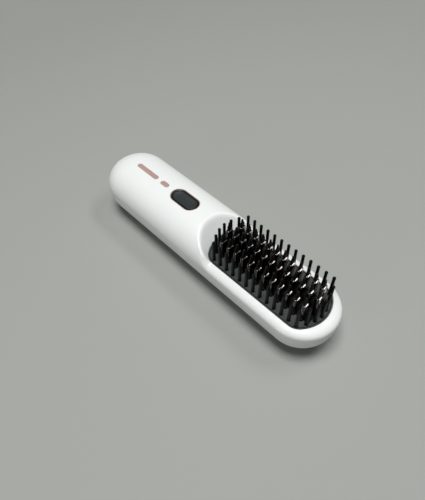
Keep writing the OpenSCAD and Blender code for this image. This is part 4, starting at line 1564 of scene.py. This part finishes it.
@dataclass
class Studio:
    """Floor, lamps and the camera at the photograph's angle.

    Attributes:
        camera_mm: The camera's place.
        heading: Degrees that the camera is turned about the vertical.
        tilt: Degrees that it looks down.
        roll: Degrees that it leans.
        lens: Focal length for a 36 mm long side.
        floor: Colour of the floor.
        floor_half: Half of the floor's size, in millimetres.
        world: Strength of the even light from all round.
        distance: Colour that the floor and the world show far from the object.
        fade: Where the floor starts to take that colour and where it has it, in metres.
    """

    camera_mm: tuple[float, float, float] = (130.72, -116.88, 228.11)
    heading: float = 48.129
    tilt: float = 51.514
    roll: float = -2.378
    lens: float = 31.994
    floor: str = "#9c9f9a"
    floor_half: float = 3000.0
    world: float = 0.04
    distance: str = "#a3a6a1"
    fade: tuple[float, float] = (0.3, 0.75)

    def seen(self, tree: bpy.types.NodeTree) -> bpy.types.NodeSocket:
        """Tell the rays that show the background from those that light the object.

        Args:
            tree: The node tree of the floor's material or of the world.

        Returns:
            A socket that is 1 for what is seen, mirrored or looked through to.
        """
        path = add_node(tree, "ShaderNodeLightPath")
        gloss = add_node(tree, "ShaderNodeMath", {"operation": "MAXIMUM"},
                         links={0: path.outputs["Is Camera Ray"], 1: path.outputs["Is Glossy Ray"]})
        both = add_node(tree, "ShaderNodeMath", {"operation": "MAXIMUM"},
                        links={0: gloss.outputs[0], 1: path.outputs["Is Transmission Ray"]})
        return both.outputs[0]

    def ground(self) -> None:
        """Lay the floor, which fades to an even tone far from the object."""
        bm = bmesh.new()
        bmesh.ops.create_grid(bm, x_segments=2, y_segments=2, size=self.floor_half)
        # Smooth grey vinyl: dull and even, so that nothing draws the eye from the comb.
        plain = Finish("grey_desk_mat", self.floor, self.floor, 0.75, 0.03, grain_mm=0.6,
                       relief=0.03)
        floor = place_object("floor", bm, plain)
        tree = floor.data.materials[0].node_tree
        coordinates = add_node(tree, "ShaderNodeTexCoord")
        reach = add_node(tree, "ShaderNodeVectorMath", {"operation": "LENGTH"},
                         links={0: coordinates.outputs["Object"]})
        near, far = self.fade
        away = add_node(tree, "ShaderNodeMapRange", {"interpolation_type": "SMOOTHSTEP"},
                        {"From Min": near, "From Max": far}, {"Value": reach.outputs["Value"]})
        share = add_node(tree, "ShaderNodeMath", {"operation": "MULTIPLY"},
                         links={0: away.outputs["Result"], 1: self.seen(tree)})
        glow = add_node(tree, "ShaderNodeEmission", inputs={"Color": linear(self.distance)})
        shown = add_node(tree, "ShaderNodeMixShader", links={
            0: share.outputs[0], 1: tree.nodes["Principled BSDF"].outputs[0],
            2: glow.outputs[0]})
        tree.links.new(shown.outputs[0], tree.nodes["Material Output"].inputs["Surface"])

    def surroundings(self) -> None:
        """Give the world its even light, and the tone that it shows behind the floor."""
        world = bpy.data.worlds.new("studio")
        bpy.context.scene.world = world
        world.use_nodes = True
        tree = world.node_tree
        light = tree.nodes["Background"]
        light.inputs["Color"].default_value = (1, 1, 1, 1)
        light.inputs["Strength"].default_value = self.world
        tone = add_node(tree, "ShaderNodeBackground", inputs={"Color": linear(self.distance)})
        shown = add_node(tree, "ShaderNodeMixShader", links={
            0: self.seen(tree), 1: light.outputs[0], 2: tone.outputs[0]})
        tree.links.new(shown.outputs[0], tree.nodes["World Output"].inputs["Surface"])

    def camera(self) -> None:
        """Stand the camera where the photograph was taken from."""
        data = bpy.data.cameras.new("camera")
        data.lens = self.lens
        data.sensor_width = 36.0
        data.clip_start, data.clip_end = 0.01, 20.0
        obj = bpy.data.objects.new("camera", data)
        bpy.context.scene.collection.objects.link(obj)
        turn = (Matrix.Rotation(math.radians(self.heading), 4, "Z")
                @ Matrix.Rotation(math.radians(90 - self.tilt), 4, "X")
                @ Matrix.Rotation(math.radians(self.roll), 4, "Z"))
        obj.matrix_world = Matrix.Translation(Vector(self.camera_mm) * MM) @ turn
        bpy.context.scene.camera = obj

    def lamp(self, name: str, place: Sequence[float], size: tuple[float, float],
             power: float) -> None:
        """Hang a soft flat lamp that faces the object.

        Args:
            name: Name of the lamp.
            place: Where it hangs, in metres.
            size: Length of its two sides in metres.
            power: Its power in watts.
        """
        data = bpy.data.lights.new(name, "AREA")
        data.shape, data.energy = "RECTANGLE", power
        data.size, data.size_y = size
        obj = bpy.data.objects.new(name, data)
        bpy.context.scene.collection.objects.link(obj)
        obj.location = Vector(place)
        aim = Vector((0, 0, 0.02)) - obj.location
        obj.rotation_euler = aim.to_track_quat("-Z", "Y").to_euler()

    def build(self) -> None:
        """Make the floor, the lamps and the world's light."""
        self.ground()
        self.surroundings()
        self.lamp("overhead", (0.04, -0.1, 1.2), (0.5, 0.4), 12.8)
        self.lamp("near", (0.0, -1.2, 0.35), (0.6, 0.4), 1.9)
        self.lamp("back", (0.25, 0.58, 1.0), (0.5, 0.14), 2.9)
        self.camera()
        bpy.context.scene.view_settings.view_transform = "Standard"


def main() -> None:
    """Build the studio and every sub-assembly."""
    logging.basicConfig(level=logging.INFO, format="%(message)s")
    Studio().build()
    for assembly in (Housing(), CONTROLS, GuardPins(), HeatedTeeth(), KeptNodes()):
        made = assembly.build()
        LOG.info("%s: %d pieces", type(assembly).__name__, len(made))


if __name__ == "__main__":
    main()
